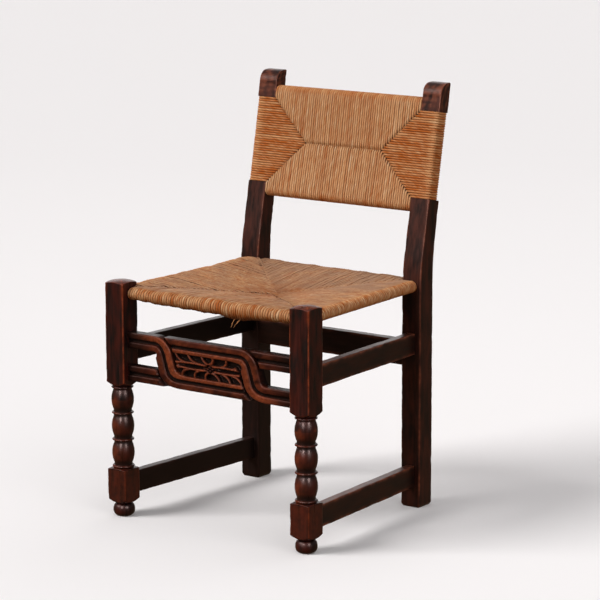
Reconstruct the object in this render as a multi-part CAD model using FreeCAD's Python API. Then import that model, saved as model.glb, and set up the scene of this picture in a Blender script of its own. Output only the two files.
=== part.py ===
import FreeCAD, Part
import math
import os

V = FreeCAD.Vector
os.makedirs("parts", exist_ok=True)

# Frame of the chair, in millimetres
front_width = 490.0          # over the outsides of the front legs
rear_width = 444.0           # over the outsides of the rear posts
frame_depth = 444.0          # front of the front legs to back of the rear posts, at the floor
back_lean = 59.0             # how far the head of a rear post lies behind its foot
arris_round = 1.2            # worn rounding along the long edges

# Front legs, listed from the floor up
leg_size = 45.0              # side of the square blocks
foot_base_radius = 11.0
foot_radius = 21.3           # fullest part of the bun foot
foot_middle = 11.5           # height of that fullest part
foot_neck_radius = 15.5
foot_neck_height = 25.0
low_block_bottom = 35.0      # height where the lower block's corners start
low_block_top = 95.0         # height where the lower block's corners end
low_block_crown = 2.5        # turned shoulder above the lower block
collar_height = 6.5
barrel_length = 40.0
barrel_radius = 22.0
ring_height = 5.3
ring_radius = 21.6
neck_radius = 17.8
neck_gap = 4.0               # neck left between a barrel and a ring
shoulder_height = 9.0        # turned shoulder at each block's lower end
leg_height = 471.5
leg_dome_radius = 92.0       # low dome turned on the leg's head
barrel_count = 3

# Rear posts
post_width = 44.0
post_depth = 44.0            # at the floor
head_depth = 31.0            # at the head, front to back
post_height = 838.0
front_bend = 470.0           # height at which the front face starts to lean
back_bend = 495.0            # height at which the back face starts to lean
bend_radius = 420.0
head_round = 25.0            # quarter round over the head's front edge
foot_ease = 2.0              # small chamfer round the post's foot

# Stretchers
upper_bottom = 310.0
upper_height = 43.0
upper_thickness = 19.0
upper_inset = 4.0            # centre line inside the leg's centre
lower_bottom = 41.0
lower_height = 44.0
lower_thickness = 19.0
rear_bottom = 285.5
rear_height = 50.5
rear_thickness = 22.0
rear_setback = 1.0           # behind the posts' front faces

# Mortises and tenons
tenon_thickness = 9.0
tenon_length = 26.0
rear_tenon_length = 12.0
tenon_shoulder = 7.0         # left above and below a tenon
rail_tenon_length = 18.0
rail_tenon_height = 15.0
fit = 0.2                    # clearance all round a tenon
end_gap = 1.0                # clearance at the bottom of a mortise

# Carved front rail
rail_bottom = 275.0
rail_height = 96.5
rail_thickness = 20.0
rail_setback = 13.0          # behind the legs' front faces
strap_width = 31.0
strap_groove = 4.0           # depth of the groove between a strap's two reeds
groove_floor = 1.5           # half width of the groove's floor
bend_middle = 103.5          # half the distance between the two falling bends
strap_bend_radius = 28.0     # of a strap's centre line
strap_fall = 73.0            # steepness of a falling bend, degrees
border_tuck = 10.0           # borders start this far inside the bends
strap_tuck = 4.0             # side straps end this far inside the bends
shadow_gap = 1.6             # cut beside a bend that lies over a strap
shadow_depth = 6.0
panel_sink = 6.0             # carved panel's ground behind the straps' crests
panel_slant = 5.0            # half the panel's lean from top to bottom
leaf_radius = 4.0
leaf_sprays = ((26.0, 14.0, 38.0), (46.0, 11.0, 30.0), (64.0, 9.0, 24.0))  # reach, rise, length
leaf_turn = 32.0             # lean of the outer leaves, degrees
stem_length = 62.0
stem_radius = 3.4

# Seat rails and back rails
seat_rail_width = 18.0
seat_rail_thickness = 13.0
seat_rail_drop = 25.5        # centre of the rails below the front legs' heads
seat_rail_round = 5.0
front_rail_back = 28.0       # centre behind the front legs' front faces
rear_rail_back = 20.0        # centre behind the rear posts' front faces
side_rail_inset = 24.5       # centre inside the legs' outer faces
seat_tenon_radius = 5.0
seat_tenon_length = 12.0
back_rail_height = 18.0
back_rail_thickness = 14.0
back_rail_round = 5.0
back_tenon_height = 11.0
back_tenon_thickness = 8.0
back_tenon_length = 16.0

# Rush
rush = 6.0                   # thickness of the woven layer
soft_gap = 0.6               # clearance between rush and wood
seat_dish = 20.0             # fall of the seat from the rails to its middle
seat_sag = 13.0              # fall of the underside
seat_middle_back = 226.0     # middle of the weave behind the front legs' front faces
stuffing_reach = 0.88        # share of the way from the weave's middle to the rails
wrap_drop = 54.0             # upper shoulder below the post's top, along the post
wrap_length = 172.0          # length of post under the rush
wrap_inset = 0.5             # rush inside the post's outer face
wrap_corner_radius = 4.0     # where a strand turns round a post's corner
wrap_depth = 32.0            # back panel front to back
wrap_core_gap = 4.0          # core inside the post's inner face
back_overhang = 27.0         # rush beyond the shoulders at top and bottom
back_dish = 3.0
stuffing_margin = 14.0       # back stuffing inside the posts and shoulders
fall_shape = ((0, 0), (0.35, 0), (0.7, 0.75), (1, 1))  # way in and way down of a dished layer
roll_shape = ((0, 1), (0.7, 0.97), (1, 0.8), (1, 0))   # way out and half depth of a rolled edge

# Places worked out from the sizes above
overall_depth = frame_depth + back_lean
y_front = -overall_depth / 2
y_leg_back = y_front + leg_size
y_post = y_front + frame_depth - post_depth
y_post_back = y_post + post_depth
y_head_back = y_post_back + back_lean
y_head_front = y_head_back - head_depth
x_leg = front_width / 2
x_leg_in = x_leg - leg_size
x_leg_mid = x_leg - leg_size / 2
x_post = rear_width / 2
x_post_in = x_post - post_width
x_post_mid = x_post - post_width / 2
y_leg_mid = y_front + leg_size / 2
rake = math.degrees(math.atan2(y_head_front - y_post, post_height - front_bend))
raked_length = math.hypot(y_head_front - y_post, post_height - front_bend)
wrap_end = raked_length - wrap_drop
wrap_start = wrap_end - wrap_length
wrap_middle = wrap_start + wrap_length / 2
wrap_span = wrap_length / 2
rail_middle = rail_bottom + rail_height / 2
y_rail = y_front + rail_setback
y_rail_back = y_rail + rail_thickness
strap_high = rail_bottom + rail_height - strap_width / 2
strap_low = rail_bottom + strap_width / 2
seat_rail_height = leg_height - seat_rail_drop
seat_front_y = y_front + front_rail_back
seat_rear_y = y_post + rear_rail_back
seat_front_x = x_leg - side_rail_inset
seat_rear_x = x_post - side_rail_inset
seat_middle = V(0, y_front + seat_middle_back, 0)
roll_half = seat_rail_thickness / 2 + rush
roll_out = seat_rail_width / 2 + rush
beyond = overall_depth       # longer than any cut needs
edge_stray = 0.01            # an edge that strays less than this runs along its direction


def box(x0, x1, y0, y1, z0, z1):
    """Block between two corners."""
    return Part.makeBox(x1 - x0, y1 - y0, z1 - z0, V(x0, y0, z0))


def prism(points, z0, z1):
    """Plan outline carried up from one height to another."""
    corners = [V(x, y, z0) for x, y in points]
    return Part.Face(Part.makePolygon(corners + corners[:1])).extrude(V(0, 0, z1 - z0))


def turned(points, x, y):
    """Radius and height pairs spun round an upright axis."""
    corners = [V(radius, 0, z) for radius, z in points]
    face = Part.Face(Part.makePolygon(corners + corners[:1]))
    return face.revolve(V(0, 0, 0), V(0, 0, 1), 360).translated(V(x, y, 0))


def joined(shapes):
    """One clean solid from shapes that meet."""
    return shapes[0].multiFuse(shapes[1:]).removeSplitter()


def eased(shape, direction, radius):
    """Rounds the straight edges that run along a direction."""
    along = V(direction).normalize()
    edges = []
    for edge in shape.Edges:
        run = edge.Vertexes[-1].Point - edge.Vertexes[0].Point
        if run.Length > radius and run.cross(along).Length < edge_stray:
            edges.append(edge)
    return shape.makeFillet(radius, edges)


def mirrored(shape):
    """The same piece for the chair's other side."""
    return shape.mirror(V(0, 0, 0), V(1, 0, 0))


def leaned(shape):
    """Carries a piece drawn upright on the post's front face over to the leaning back."""
    return shape.rotated(V(0, 0, 0), V(1, 0, 0), -rake).translated(V(0, y_post, front_bend))


class SideBar:
    """A bar on the right side that follows the seat's splay from front leg to rear post."""

    def __init__(self, x_front, y_start, x_rear, y_end):
        self.start = V(x_front, y_start, 0)
        self.run = V(x_rear - x_front, y_end - y_start, 0)

    def x_at(self, y):
        return self.start.x + self.run.x * (y - self.start.y) / self.run.y

    def bar(self, y0, y1, width, z0, z1):
        a, b, half = self.x_at(y0), self.x_at(y1), width / 2
        return prism([(a - half, y0), (a + half, y0), (b + half, y1), (b - half, y1)], z0, z1)

    def pin(self, y0, y1, radius, z):
        foot = V(self.x_at(y0), y0, z)
        reach = V(self.x_at(y1), y1, z) - foot
        return Part.makeCylinder(radius, reach.Length, foot, reach)


upper_line = SideBar(x_leg_mid - upper_inset, y_leg_back, x_post_mid, y_post)
lower_line = SideBar(x_leg_mid, y_leg_back, x_post_mid, y_post)
seat_line = SideBar(seat_front_x, seat_front_y, seat_rear_x, seat_rear_y)


def side_stretcher(line, bottom, height, thickness):
    """Plain bar with a tenon at each end."""
    body = line.bar(y_leg_back, y_post, thickness, bottom, bottom + height)
    body = eased(body, line.run, arris_round)
    low, high = bottom + tenon_shoulder, bottom + height - tenon_shoulder
    tenon = line.bar(y_leg_back - tenon_length, y_post + tenon_length, tenon_thickness, low, high)
    return joined([body, tenon])


def side_mortises(line, bottom, height):
    """Room for a side stretcher's two tenons."""
    low = bottom + tenon_shoulder - fit
    high = bottom + height - tenon_shoulder + fit
    reach = tenon_length + end_gap
    return line.bar(y_leg_back - reach, y_post + reach, tenon_thickness + 2 * fit, low, high)


def rear_stretcher():
    """Bar between the rear posts."""
    y0 = y_post + rear_setback
    body = box(-x_post_in, x_post_in, y0, y0 + rear_thickness, rear_bottom, rear_bottom + rear_height)
    body = eased(body, V(1, 0, 0), arris_round)
    return joined([body, rear_tenon(rear_tenon_length, 0)])


def rear_tenon(length, clearance):
    """Tenons of the rear stretcher as one long bar, or the room for them."""
    middle = y_post + rear_setback + rear_thickness / 2
    half = tenon_thickness / 2 + clearance
    low = rear_bottom + tenon_shoulder - clearance
    high = rear_bottom + rear_height - tenon_shoulder + clearance
    reach = x_post_in + length
    return box(-reach, reach, middle - half, middle + half, low, high)


def barrel(bottom):
    """One turned barrel with its neck below and above left straight."""
    top = bottom + barrel_length
    bulge = Part.Arc(V(neck_radius, 0, bottom), V(barrel_radius, 0, (bottom + top) / 2), V(neck_radius, 0, top))
    ends = Part.makePolygon([V(neck_radius, 0, top), V(0, 0, top), V(0, 0, bottom), V(neck_radius, 0, bottom)])
    face = Part.Face(Part.Wire([bulge.toShape()] + ends.Edges))
    return face.revolve(V(0, 0, 0), V(0, 0, 1), 360)


def ring(bottom, height):
    """Turned ring with a rounded edge."""
    top, bead = bottom + height, ring_radius - height / 2
    edge = Part.Arc(V(bead, 0, bottom), V(ring_radius, 0, (bottom + top) / 2), V(bead, 0, top))
    ends = Part.makePolygon([V(bead, 0, top), V(0, 0, top), V(0, 0, bottom), V(bead, 0, bottom)])
    face = Part.Face(Part.Wire([edge.toShape()] + ends.Edges))
    return face.revolve(V(0, 0, 0), V(0, 0, 1), 360)


def bun_foot():
    """Bun under the lower block, flat where it stands."""
    low, full = V(foot_base_radius, 0, 0), V(foot_radius, 0, foot_middle)
    neck = V(foot_neck_radius, 0, foot_neck_height)
    top = V(foot_neck_radius, 0, low_block_bottom)
    curve = Part.Arc(low, full, neck).toShape()
    ends = Part.makePolygon([neck, top, V(0, 0, low_block_bottom), V(0, 0, 0), low])
    return Part.Face(Part.Wire([curve] + ends.Edges)).revolve(V(0, 0, 0), V(0, 0, 1), 360)


corner_radius = leg_size / math.sqrt(2)
turning_bottom = low_block_top + low_block_crown
collar_top = turning_bottom + collar_height
barrel_pitch = barrel_length + ring_height + 2 * neck_gap
first_barrel = collar_top + neck_gap
last_barrel_top = first_barrel + barrel_count * barrel_pitch - ring_height - 2 * neck_gap
bead_bottom = last_barrel_top + neck_gap / 2
bead_top = bead_bottom + ring_height
upper_block_bottom = bead_top + shoulder_height


def leg_block(bottom, top, envelope):
    """Square block with worn arrises, cut to the lathe's shoulders."""
    half = leg_size / 2
    return eased(box(-half, half, -half, half, bottom, top), V(0, 0, 1), arris_round).common(envelope)


def front_leg():
    """Right front leg on its own axis, before the joints are cut."""
    r = corner_radius
    low_shape = turned([(0, foot_neck_height), (foot_neck_radius, foot_neck_height), (r, low_block_bottom),
                        (r, low_block_top), (ring_radius, turning_bottom), (0, turning_bottom)], 0, 0)
    pieces = [bun_foot(), leg_block(foot_neck_height, turning_bottom, low_shape)]
    pieces.append(ring(turning_bottom, collar_height))
    pieces.append(Part.makeCylinder(neck_radius, bead_top - turning_bottom, V(0, 0, turning_bottom)))
    for k in range(barrel_count):
        start = first_barrel + k * barrel_pitch
        pieces.append(barrel(start))
        if k:
            pieces.append(ring(start - neck_gap - ring_height, ring_height))
    pieces.append(ring(bead_bottom, ring_height))
    skirt = turned([(0, bead_top), (neck_radius, bead_top), (r, upper_block_bottom), (r, leg_height),
                    (0, leg_height)], 0, 0)
    dome = Part.makeSphere(leg_dome_radius, V(0, 0, leg_height - leg_dome_radius))
    below = Part.makeCylinder(2 * r, leg_height - leg_dome_radius)
    pieces.append(leg_block(bead_top, leg_height, skirt).common(dome.fuse(below)))
    return joined(pieces).translated(V(x_leg_mid, y_leg_mid, 0))


def rear_post():
    """Right rear post with its lean, before the rush seat and the joints are cut."""
    front = bent_edge(y_post, front_bend, y_head_front)
    back = bent_edge(y_post_back, back_bend, y_head_back)
    lean = (y_head_front - y_post) / (post_height - front_bend)
    below = post_height - head_round
    start = V(0, y_head_front - lean * head_round, below)
    crown = V(0, start.y + head_round, post_height)
    turn = math.radians(45)
    middle = V(0, start.y + head_round * (1 - math.cos(turn)), below + head_round * math.sin(turn))
    edges = front[:-1] + [Part.makeLine(front[-1].Vertexes[0].Point, start)]
    edges.append(Part.Arc(start, middle, crown).toShape())
    edges.append(Part.makeLine(crown, V(0, y_head_back, post_height)))
    edges += back
    edges.append(Part.makeLine(V(0, y_post, 0), V(0, y_post_back, 0)))
    face = Part.Face(Part.Wire(Part.__sortEdges__(edges)))
    post = face.extrude(V(post_width, 0, 0)).translated(V(x_post_in, 0, 0))
    post = post.makeFillet(arris_round, long_edges(post))
    feet = [e for e in post.Edges if e.BoundBox.ZMax < arris_round / 2 and e.Length > foot_ease]
    return post.makeChamfer(foot_ease, feet)


def bent_edge(y, bend, y_head):
    """One long edge of a rear post in side view: upright, a gentle curve, then the lean."""
    foot, knee, head = V(0, y, 0), V(0, y, bend), V(0, y_head, post_height)
    lean = math.atan2(y_head - y, post_height - bend)
    reach = bend_radius * math.tan(lean / 2)
    start = V(0, y, bend - reach)
    end = knee + (head - knee).normalize() * reach
    middle = V(0, y + bend_radius * (1 - math.cos(lean / 2)), start.z + bend_radius * math.sin(lean / 2))
    return [Part.makeLine(foot, start), Part.Arc(start, middle, end).toShape(), Part.makeLine(end, head)]


def long_edges(post):
    """Edges that run up the post's two sides."""
    return [e for e in post.Edges if e.BoundBox.XLength < fit and e.BoundBox.ZLength > head_round / 2]


def wrap_core(clearance):
    """The thinner length of a right post that the back's rush is wound on."""
    x0 = x_post_in + wrap_core_gap - clearance
    x1 = x_post - wrap_inset - rush + clearance
    n0, n1 = rush + soft_gap - clearance, wrap_depth - rush - soft_gap + clearance
    return box(x0, x1, n0, n1, wrap_start - soft_gap, wrap_end + soft_gap)


def wrap_seat():
    """What is cut away round the core between the two shoulders."""
    around = box(x_post_in - beyond, x_post + beyond, -beyond, beyond, wrap_start, wrap_end)
    return leaned(around.cut(wrap_core(0)))


def strap_path(start, end):
    """Centre line of the band that falls on the left, in the rail's front view."""
    fall = math.radians(strap_fall)
    drop = strap_bend_radius * (1 - math.cos(fall))
    straight = (strap_high - strap_low - 2 * drop) / math.sin(fall)
    half = strap_bend_radius * math.sin(fall) + straight * math.cos(fall) / 2
    middle = V(-bend_middle, y_rail, rail_middle)
    first = V(-bend_middle - half, y_rail, strap_high)

    def on_bend(angle):
        swing = V(math.sin(angle), 0, math.cos(angle)) * strap_bend_radius
        return first - V(0, 0, strap_bend_radius) + swing

    upper = [first, on_bend(fall / 2), on_bend(fall)]
    lower = [middle * 2 - point for point in upper]
    edges = [Part.makeLine(V(start, y_rail, strap_high), first), Part.Arc(*upper).toShape()]
    edges.append(Part.makeLine(upper[2], lower[2]))
    edges.append(Part.Arc(lower[2], lower[1], lower[0]).toShape())
    edges.append(Part.makeLine(lower[0], V(end, y_rail, strap_low)))
    return Part.Wire(edges)


def strap_section(x, z):
    """Two rounded reeds with a groove between them, square at the back."""
    half = strap_width / 2
    crest = (half + groove_floor) / 2
    sunk = y_rail + strap_groove
    high = Part.Arc(V(x, sunk, z + half), V(x, y_rail, z + crest), V(x, sunk, z + groove_floor))
    low = Part.Arc(V(x, sunk, z - groove_floor), V(x, y_rail, z - crest), V(x, sunk, z - half))
    floor = Part.makeLine(V(x, sunk, z + groove_floor), V(x, sunk, z - groove_floor))
    rest = Part.makePolygon([V(x, sunk, z - half), V(x, y_rail_back, z - half),
                             V(x, y_rail_back, z + half), V(x, sunk, z + half)])
    return Part.Wire([high.toShape(), floor, low.toShape()] + rest.Edges)


def straight_strap(x0, x1, z):
    """A length of strap that runs level."""
    return Part.Face(strap_section(x0, z)).extrude(V(x1 - x0, 0, 0))


def shadow():
    """Cut beside the left falling bend, so that what it crosses seems to pass under it."""
    half = strap_width / 2 + shadow_gap
    y0, y1 = y_rail - shadow_gap, y_rail + shadow_depth
    x, z = -x_leg_in, strap_high
    section = Part.makePolygon([V(x, y0, z - half), V(x, y1, z - half), V(x, y1, z + half),
                                V(x, y0, z + half), V(x, y0, z - half)])
    return strap_path(x, 0).makePipeShell([section], True, False)


def half_turn(shape):
    """The rail's pattern repeats after half a turn about its middle."""
    return shape.rotated(V(0, y_rail, rail_middle), V(0, 1, 0), 180)


def leaf(x, z, length, radius, turn):
    """One carved leaf: a slim spindle half sunk in the panel."""
    half = length / 2
    edge = Part.Arc(V(-half, 0, 0), V(0, 0, radius), V(half, 0, 0)).toShape()
    face = Part.Face(Part.Wire([edge, Part.makeLine(V(half, 0, 0), V(-half, 0, 0))]))
    body = face.revolve(V(0, 0, 0), V(1, 0, 0), 360).rotated(V(0, 0, 0), V(0, 1, 0), turn)
    return body.translated(V(x, y_rail + panel_sink, z))


def carving():
    """Paired sprays of leaves from the panel's middle."""
    leaves = [leaf(0, rail_middle, stem_length * 2, stem_radius, 0)]
    for reach, rise, length in leaf_sprays:
        for side in (-1, 1):
            for way in (-1, 1):
                turn = -leaf_turn * side * way
                leaves.append(leaf(side * reach, rail_middle + way * rise, length, leaf_radius, turn))
    return leaves


def front_rail():
    """Pierced rail of two crossing bands, two short straps and a carved panel between them."""
    band = strap_path(-x_leg_in, bend_middle - border_tuck)
    band = band.makePipeShell([strap_section(-x_leg_in, strap_high)], True, False)
    strap = straight_strap(-x_leg_in, -bend_middle + strap_tuck, strap_low)
    gap = shadow()
    band = band.cut(half_turn(gap))
    strap = strap.cut(gap)
    top, bottom = strap_high, strap_low
    left, right = -bend_middle, bend_middle
    outline = [V(left - panel_slant, y_rail_back, top), V(right - panel_slant, y_rail_back, top),
               V(right + panel_slant, y_rail_back, bottom), V(left + panel_slant, y_rail_back, bottom)]
    face = Part.Face(Part.makePolygon(outline + outline[:1]))
    panel = face.extrude(V(0, panel_sink - rail_thickness, 0))
    pieces = [panel, band, half_turn(band), strap, half_turn(strap)] + carving()
    for side in (-1, 1):
        pieces += rail_tenons(side, rail_tenon_length, 0)
    return joined(pieces)


def rail_tenons(side, length, clearance):
    """Tenons at one end of the carved rail, or the room for them."""
    middle = (y_rail + strap_groove + y_rail_back) / 2
    y0, y1 = middle - tenon_thickness / 2 - clearance, middle + tenon_thickness / 2 + clearance
    x0, x1 = sorted((side * (x_leg_in - tenon_shoulder), side * (x_leg_in + length)))
    half = rail_tenon_height / 2 + clearance
    return [box(x0, x1, y0, y1, z - half, z + half) for z in (strap_low, strap_high)]


def level_rail(reach, y, length):
    """Seat rail that runs across the chair, with round tenons."""
    low, high = seat_rail_height - seat_rail_thickness / 2, seat_rail_height + seat_rail_thickness / 2
    body = box(-reach, reach, y - seat_rail_width / 2, y + seat_rail_width / 2, low, high)
    body = eased(body, V(1, 0, 0), seat_rail_round)
    return joined([body, level_pin(reach + length, y, seat_tenon_radius)])


def level_pin(reach, y, radius):
    """Round tenons of a crosswise rail as one long pin, or the room for them."""
    return Part.makeCylinder(radius, 2 * reach, V(-reach, y, seat_rail_height), V(1, 0, 0))


def side_rail():
    """Right seat rail, splayed like the seat."""
    low, high = seat_rail_height - seat_rail_thickness / 2, seat_rail_height + seat_rail_thickness / 2
    body = seat_line.bar(y_leg_back, y_post, seat_rail_width, low, high)
    body = eased(body, seat_line.run, seat_rail_round)
    return joined([body, side_pin(seat_tenon_length, seat_tenon_radius)])


def side_pin(length, radius):
    """Round tenons of the right seat rail as one long pin, or the room for them."""
    return seat_line.pin(y_leg_back - length, y_post + length, radius, seat_rail_height)


back_rail_offset = back_overhang - rush - back_rail_height / 2
back_rail_places = {"top": wrap_end + back_rail_offset, "bottom": wrap_start - back_rail_offset}


def back_rail(place, clearance):
    """Rail under the back's rush, or the room for it inside the rush."""
    half, deep = back_rail_height / 2 + clearance, back_rail_thickness / 2 + clearance
    middle = wrap_depth / 2
    body = box(-x_post_in, x_post_in, middle - deep, middle + deep, place - half, place + half)
    return eased(body, V(1, 0, 0), back_rail_round)


def back_tenon(place, length, clearance):
    """Tenons of a back rail as one long bar, or the room for them."""
    half, deep = back_tenon_height / 2 + clearance, back_tenon_thickness / 2 + clearance
    reach, middle = x_post_in + length, wrap_depth / 2
    return box(-reach, reach, middle - deep, middle + deep, place - half, place + half)


def layer(span, low, high, fall_low, fall_high):
    """Section of a woven side from its rail, at 0, to the weave's middle; flat, later turned."""
    def edge(level, fall):
        curve = Part.BezierCurve()
        curve.setPoles([V(span * along, 0, level - fall * down) for along, down in fall_shape])
        return curve.toShape()

    top, bottom = edge(high, fall_high), edge(low, fall_low)
    ends = [Part.makeLine(V(0, 0, low), V(0, 0, high))]
    ends.append(Part.makeLine(V(span, 0, low - fall_low), V(span, 0, high - fall_high)))
    return Part.Face(Part.Wire(Part.__sortEdges__([top, bottom] + ends)))


seat_corners = [V(-seat_front_x, seat_front_y, 0), V(seat_front_x, seat_front_y, 0),
                V(seat_rear_x, seat_rear_y, 0), V(-seat_rear_x, seat_rear_y, 0)]


def seat_sides():
    """For each side of the seat: its rail's ends and the way in towards the middle."""
    ways = [V(0, 1, 0), V(-1, 0, 0), V(0, -1, 0), V(1, 0, 0)]
    return [(seat_corners[k], seat_corners[(k + 1) % 4], ways[k]) for k in range(4)]


def inward_span(start, end, way):
    """Distance from a rail's line to the weave's middle, measured straight in."""
    run = end - start
    across = V(-run.y, run.x, 0)
    return (seat_middle - start).dot(across) / way.dot(across)


def seat_mass(inset, reach):
    """Four mitred, dished layers of the seat, thinned by an inset."""
    low = seat_rail_height - roll_half + inset
    high = seat_rail_height + roll_half - inset
    parts = []
    for start, end, way in seat_sides():
        face = layer(inward_span(start, end, way), low, high, seat_sag, seat_dish)
        face = face.rotated(V(0, 0, 0), V(0, 0, 1), math.degrees(math.atan2(way.y, way.x)))
        strip = face.translated(start).extrude(end - start)
        outer = [seat_middle + (point - seat_middle) * reach for point in (start, end)]
        mitre = prism([(p.x, p.y) for p in [seat_middle] + outer], 0, post_height)
        parts.append(strip.common(mitre))
    return joined(parts)


def seat_rolls():
    """Rounded edges of the rush where it turns over the rails."""
    rolls = []
    for start, end, way in seat_sides():
        z = V(0, 0, seat_rail_height)
        up, out = V(0, 0, roll_half), way * -roll_out
        bow = Part.Arc(start + z + up, start + z + out, start + z - up).toShape()
        face = Part.Face(Part.Wire([bow, Part.makeLine(start + z - up, start + z + up)]))
        rolls.append(face.extrude(end - start))
    return rolls


def seat_cuts():
    """Room in the seat's rush for the legs, the posts and the four rails."""
    gap = soft_gap
    top = post_height
    cuts = []
    for x0, x1, y0, y1 in ((x_leg_in, x_leg, y_front, y_leg_back), (x_post_in, x_post, y_post, y_post_back)):
        block = box(x0 - gap, x1 + beyond, y0 - gap, y1 + gap, 0, top)
        cuts += [block, mirrored(block)]
    wide, tall = seat_rail_width + 2 * gap, seat_rail_thickness / 2 + gap
    low, high = seat_rail_height - tall, seat_rail_height + tall
    for y in (seat_front_y, seat_rear_y):
        bar = box(-x_leg_in, x_leg_in, y - wide / 2, y + wide / 2, low, high)
        cuts.append(eased(bar, V(1, 0, 0), seat_rail_round))
    bar = eased(seat_line.bar(y_leg_back, y_post, wide, low, high), seat_line.run, seat_rail_round)
    return cuts + [bar, mirrored(bar)]


def seat_rush():
    """Woven seat as one solid: rolled edges, four mitred faces and the room inside."""
    body = joined([seat_mass(0, 1)] + seat_rolls())
    body = body.cut(seat_cuts())
    return body.cut(seat_mass(rush, stuffing_reach))


def back_outline(side):
    """Front view of one woven side of the back: a side lies on a post, the others on a rail."""
    x_in, x_tip = x_post_in, x_post_in - wrap_span
    if side in ("left", "right"):
        points = [(x_tip, wrap_middle), (x_in, wrap_start), (x_in, wrap_end)]
        sign = 1 if side == "right" else -1
        return [(sign * x, s) for x, s in points]
    edge = wrap_end if side == "top" else wrap_start
    return [(-x_tip, wrap_middle), (x_tip, wrap_middle), (x_in, edge), (-x_in, edge)]


def back_strip(side, inset):
    """A woven side of the back as a long strip, before it is mitred."""
    face = layer(wrap_span, inset, wrap_depth - inset, -back_dish, back_dish)
    face = face.rotated(V(0, 0, 0), V(1, 0, 0), 90)
    face = face.mirror(V(0, 0, 0), V(0, 1, 0))
    if side in ("left", "right"):
        face = face.translated(V(-x_post_in, 0, wrap_start))
        strip = face.extrude(V(0, 0, wrap_length))
        return strip if side == "left" else mirrored(strip)
    turn, edge = (90, wrap_end) if side == "top" else (-90, wrap_start)
    face = face.rotated(V(0, 0, 0), V(0, 1, 0), turn).translated(V(-x_post_in, 0, edge))
    return face.extrude(V(2 * x_post_in, 0, 0))


def back_mass(inset):
    """Four mitred layers of the back."""
    parts = []
    for side in ("left", "right", "top", "bottom"):
        corners = [V(x, -beyond, s) for x, s in back_outline(side)]
        mitre = Part.Face(Part.makePolygon(corners + corners[:1])).extrude(V(0, 2 * beyond, 0))
        parts.append(back_strip(side, inset).common(mitre))
    return joined(parts)


def rolled_end(reach):
    """Section of the back's edge over a rail: full depth at 0, closed at its reach."""
    half = wrap_depth / 2

    def quarter(flip):
        curve = Part.BezierCurve()
        curve.setPoles([V(reach * along, half - flip * half * deep, 0) for along, deep in roll_shape])
        return curve.toShape()

    edges = [quarter(1), quarter(-1), Part.makeLine(V(0, 0, 0), V(0, wrap_depth, 0))]
    return Part.Face(Part.Wire(Part.__sortEdges__(edges)))


def post_wrap():
    """Rush round the right post, with the two outer corners rounded."""
    low, high = wrap_start + soft_gap, wrap_end - soft_gap
    body = box(x_post_in, x_post - wrap_inset, 0, wrap_depth, low, high)
    upright = [edge for edge in body.Edges if edge.BoundBox.ZLength > wrap_corner_radius]
    outer = [edge for edge in upright if edge.BoundBox.XMin > x_post_mid]
    return body.makeFillet(wrap_corner_radius, outer)


def back_rolls():
    """Edges of the back's rush, square round the posts and rolled over the two rails."""
    side = post_wrap()
    edge = rolled_end(back_overhang).rotated(V(0, 0, 0), V(0, 1, 0), -90)
    reach = x_post_in - soft_gap
    top = edge.translated(V(-reach, 0, wrap_end)).extrude(V(2 * reach, 0, 0))
    bottom = top.mirror(V(0, 0, wrap_middle), V(0, 0, 1))
    return [side, mirrored(side), top, bottom]


def back_room(inset, margin):
    """Inside of the back's rush, kept clear of the posts and rails by a margin."""
    x, low, high = x_post_in - margin, wrap_start + margin, wrap_end - margin
    return back_mass(inset).common(box(-x, x, -beyond, beyond, low, high))


def back_rush():
    """Woven back as one solid, still upright."""
    body = joined([back_mass(0)] + back_rolls())
    core = wrap_core(soft_gap / 2)
    cuts = [core, mirrored(core), back_room(rush, stuffing_margin)]
    cuts += [back_rail(place, soft_gap) for place in back_rail_places.values()]
    return body.cut(cuts)


def leg_joints():
    """Everything cut out of the right front leg."""
    cuts = [side_mortises(upper_line, upper_bottom, upper_height)]
    cuts.append(side_mortises(lower_line, lower_bottom, lower_height))
    cuts += rail_tenons(1, rail_tenon_length + end_gap, fit)
    cuts += seat_joints(x_leg_in, seat_front_y)
    return cuts


def seat_joints(x_in, y):
    """Holes for the round tenons of a crosswise seat rail and of the right one."""
    length, radius = seat_tenon_length + end_gap, seat_tenon_radius + fit
    return [level_pin(x_in + length, y, radius), side_pin(length, radius)]


def post_joints():
    """Everything cut out of the right rear post."""
    cuts = [side_mortises(upper_line, upper_bottom, upper_height)]
    cuts.append(side_mortises(lower_line, lower_bottom, lower_height))
    cuts.append(rear_tenon(rear_tenon_length + end_gap, fit))
    cuts += seat_joints(x_post_in, seat_rear_y)
    for place in back_rail_places.values():
        cuts.append(leaned(back_tenon(place, back_tenon_length + end_gap, fit)))
    return cuts


def whole_back_rail(place):
    """A back rail with its tenons, on the leaning back."""
    return leaned(joined([back_rail(place, 0), back_tenon(place, back_tenon_length, 0)]))


def save(name, shape):
    """Writes one piece."""
    shape.exportStep("parts/" + name + ".step")


def save_pair(name, shape):
    """Writes a right piece and its left twin."""
    save(name + "_right", shape)
    save(name + "_left", mirrored(shape))


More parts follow.
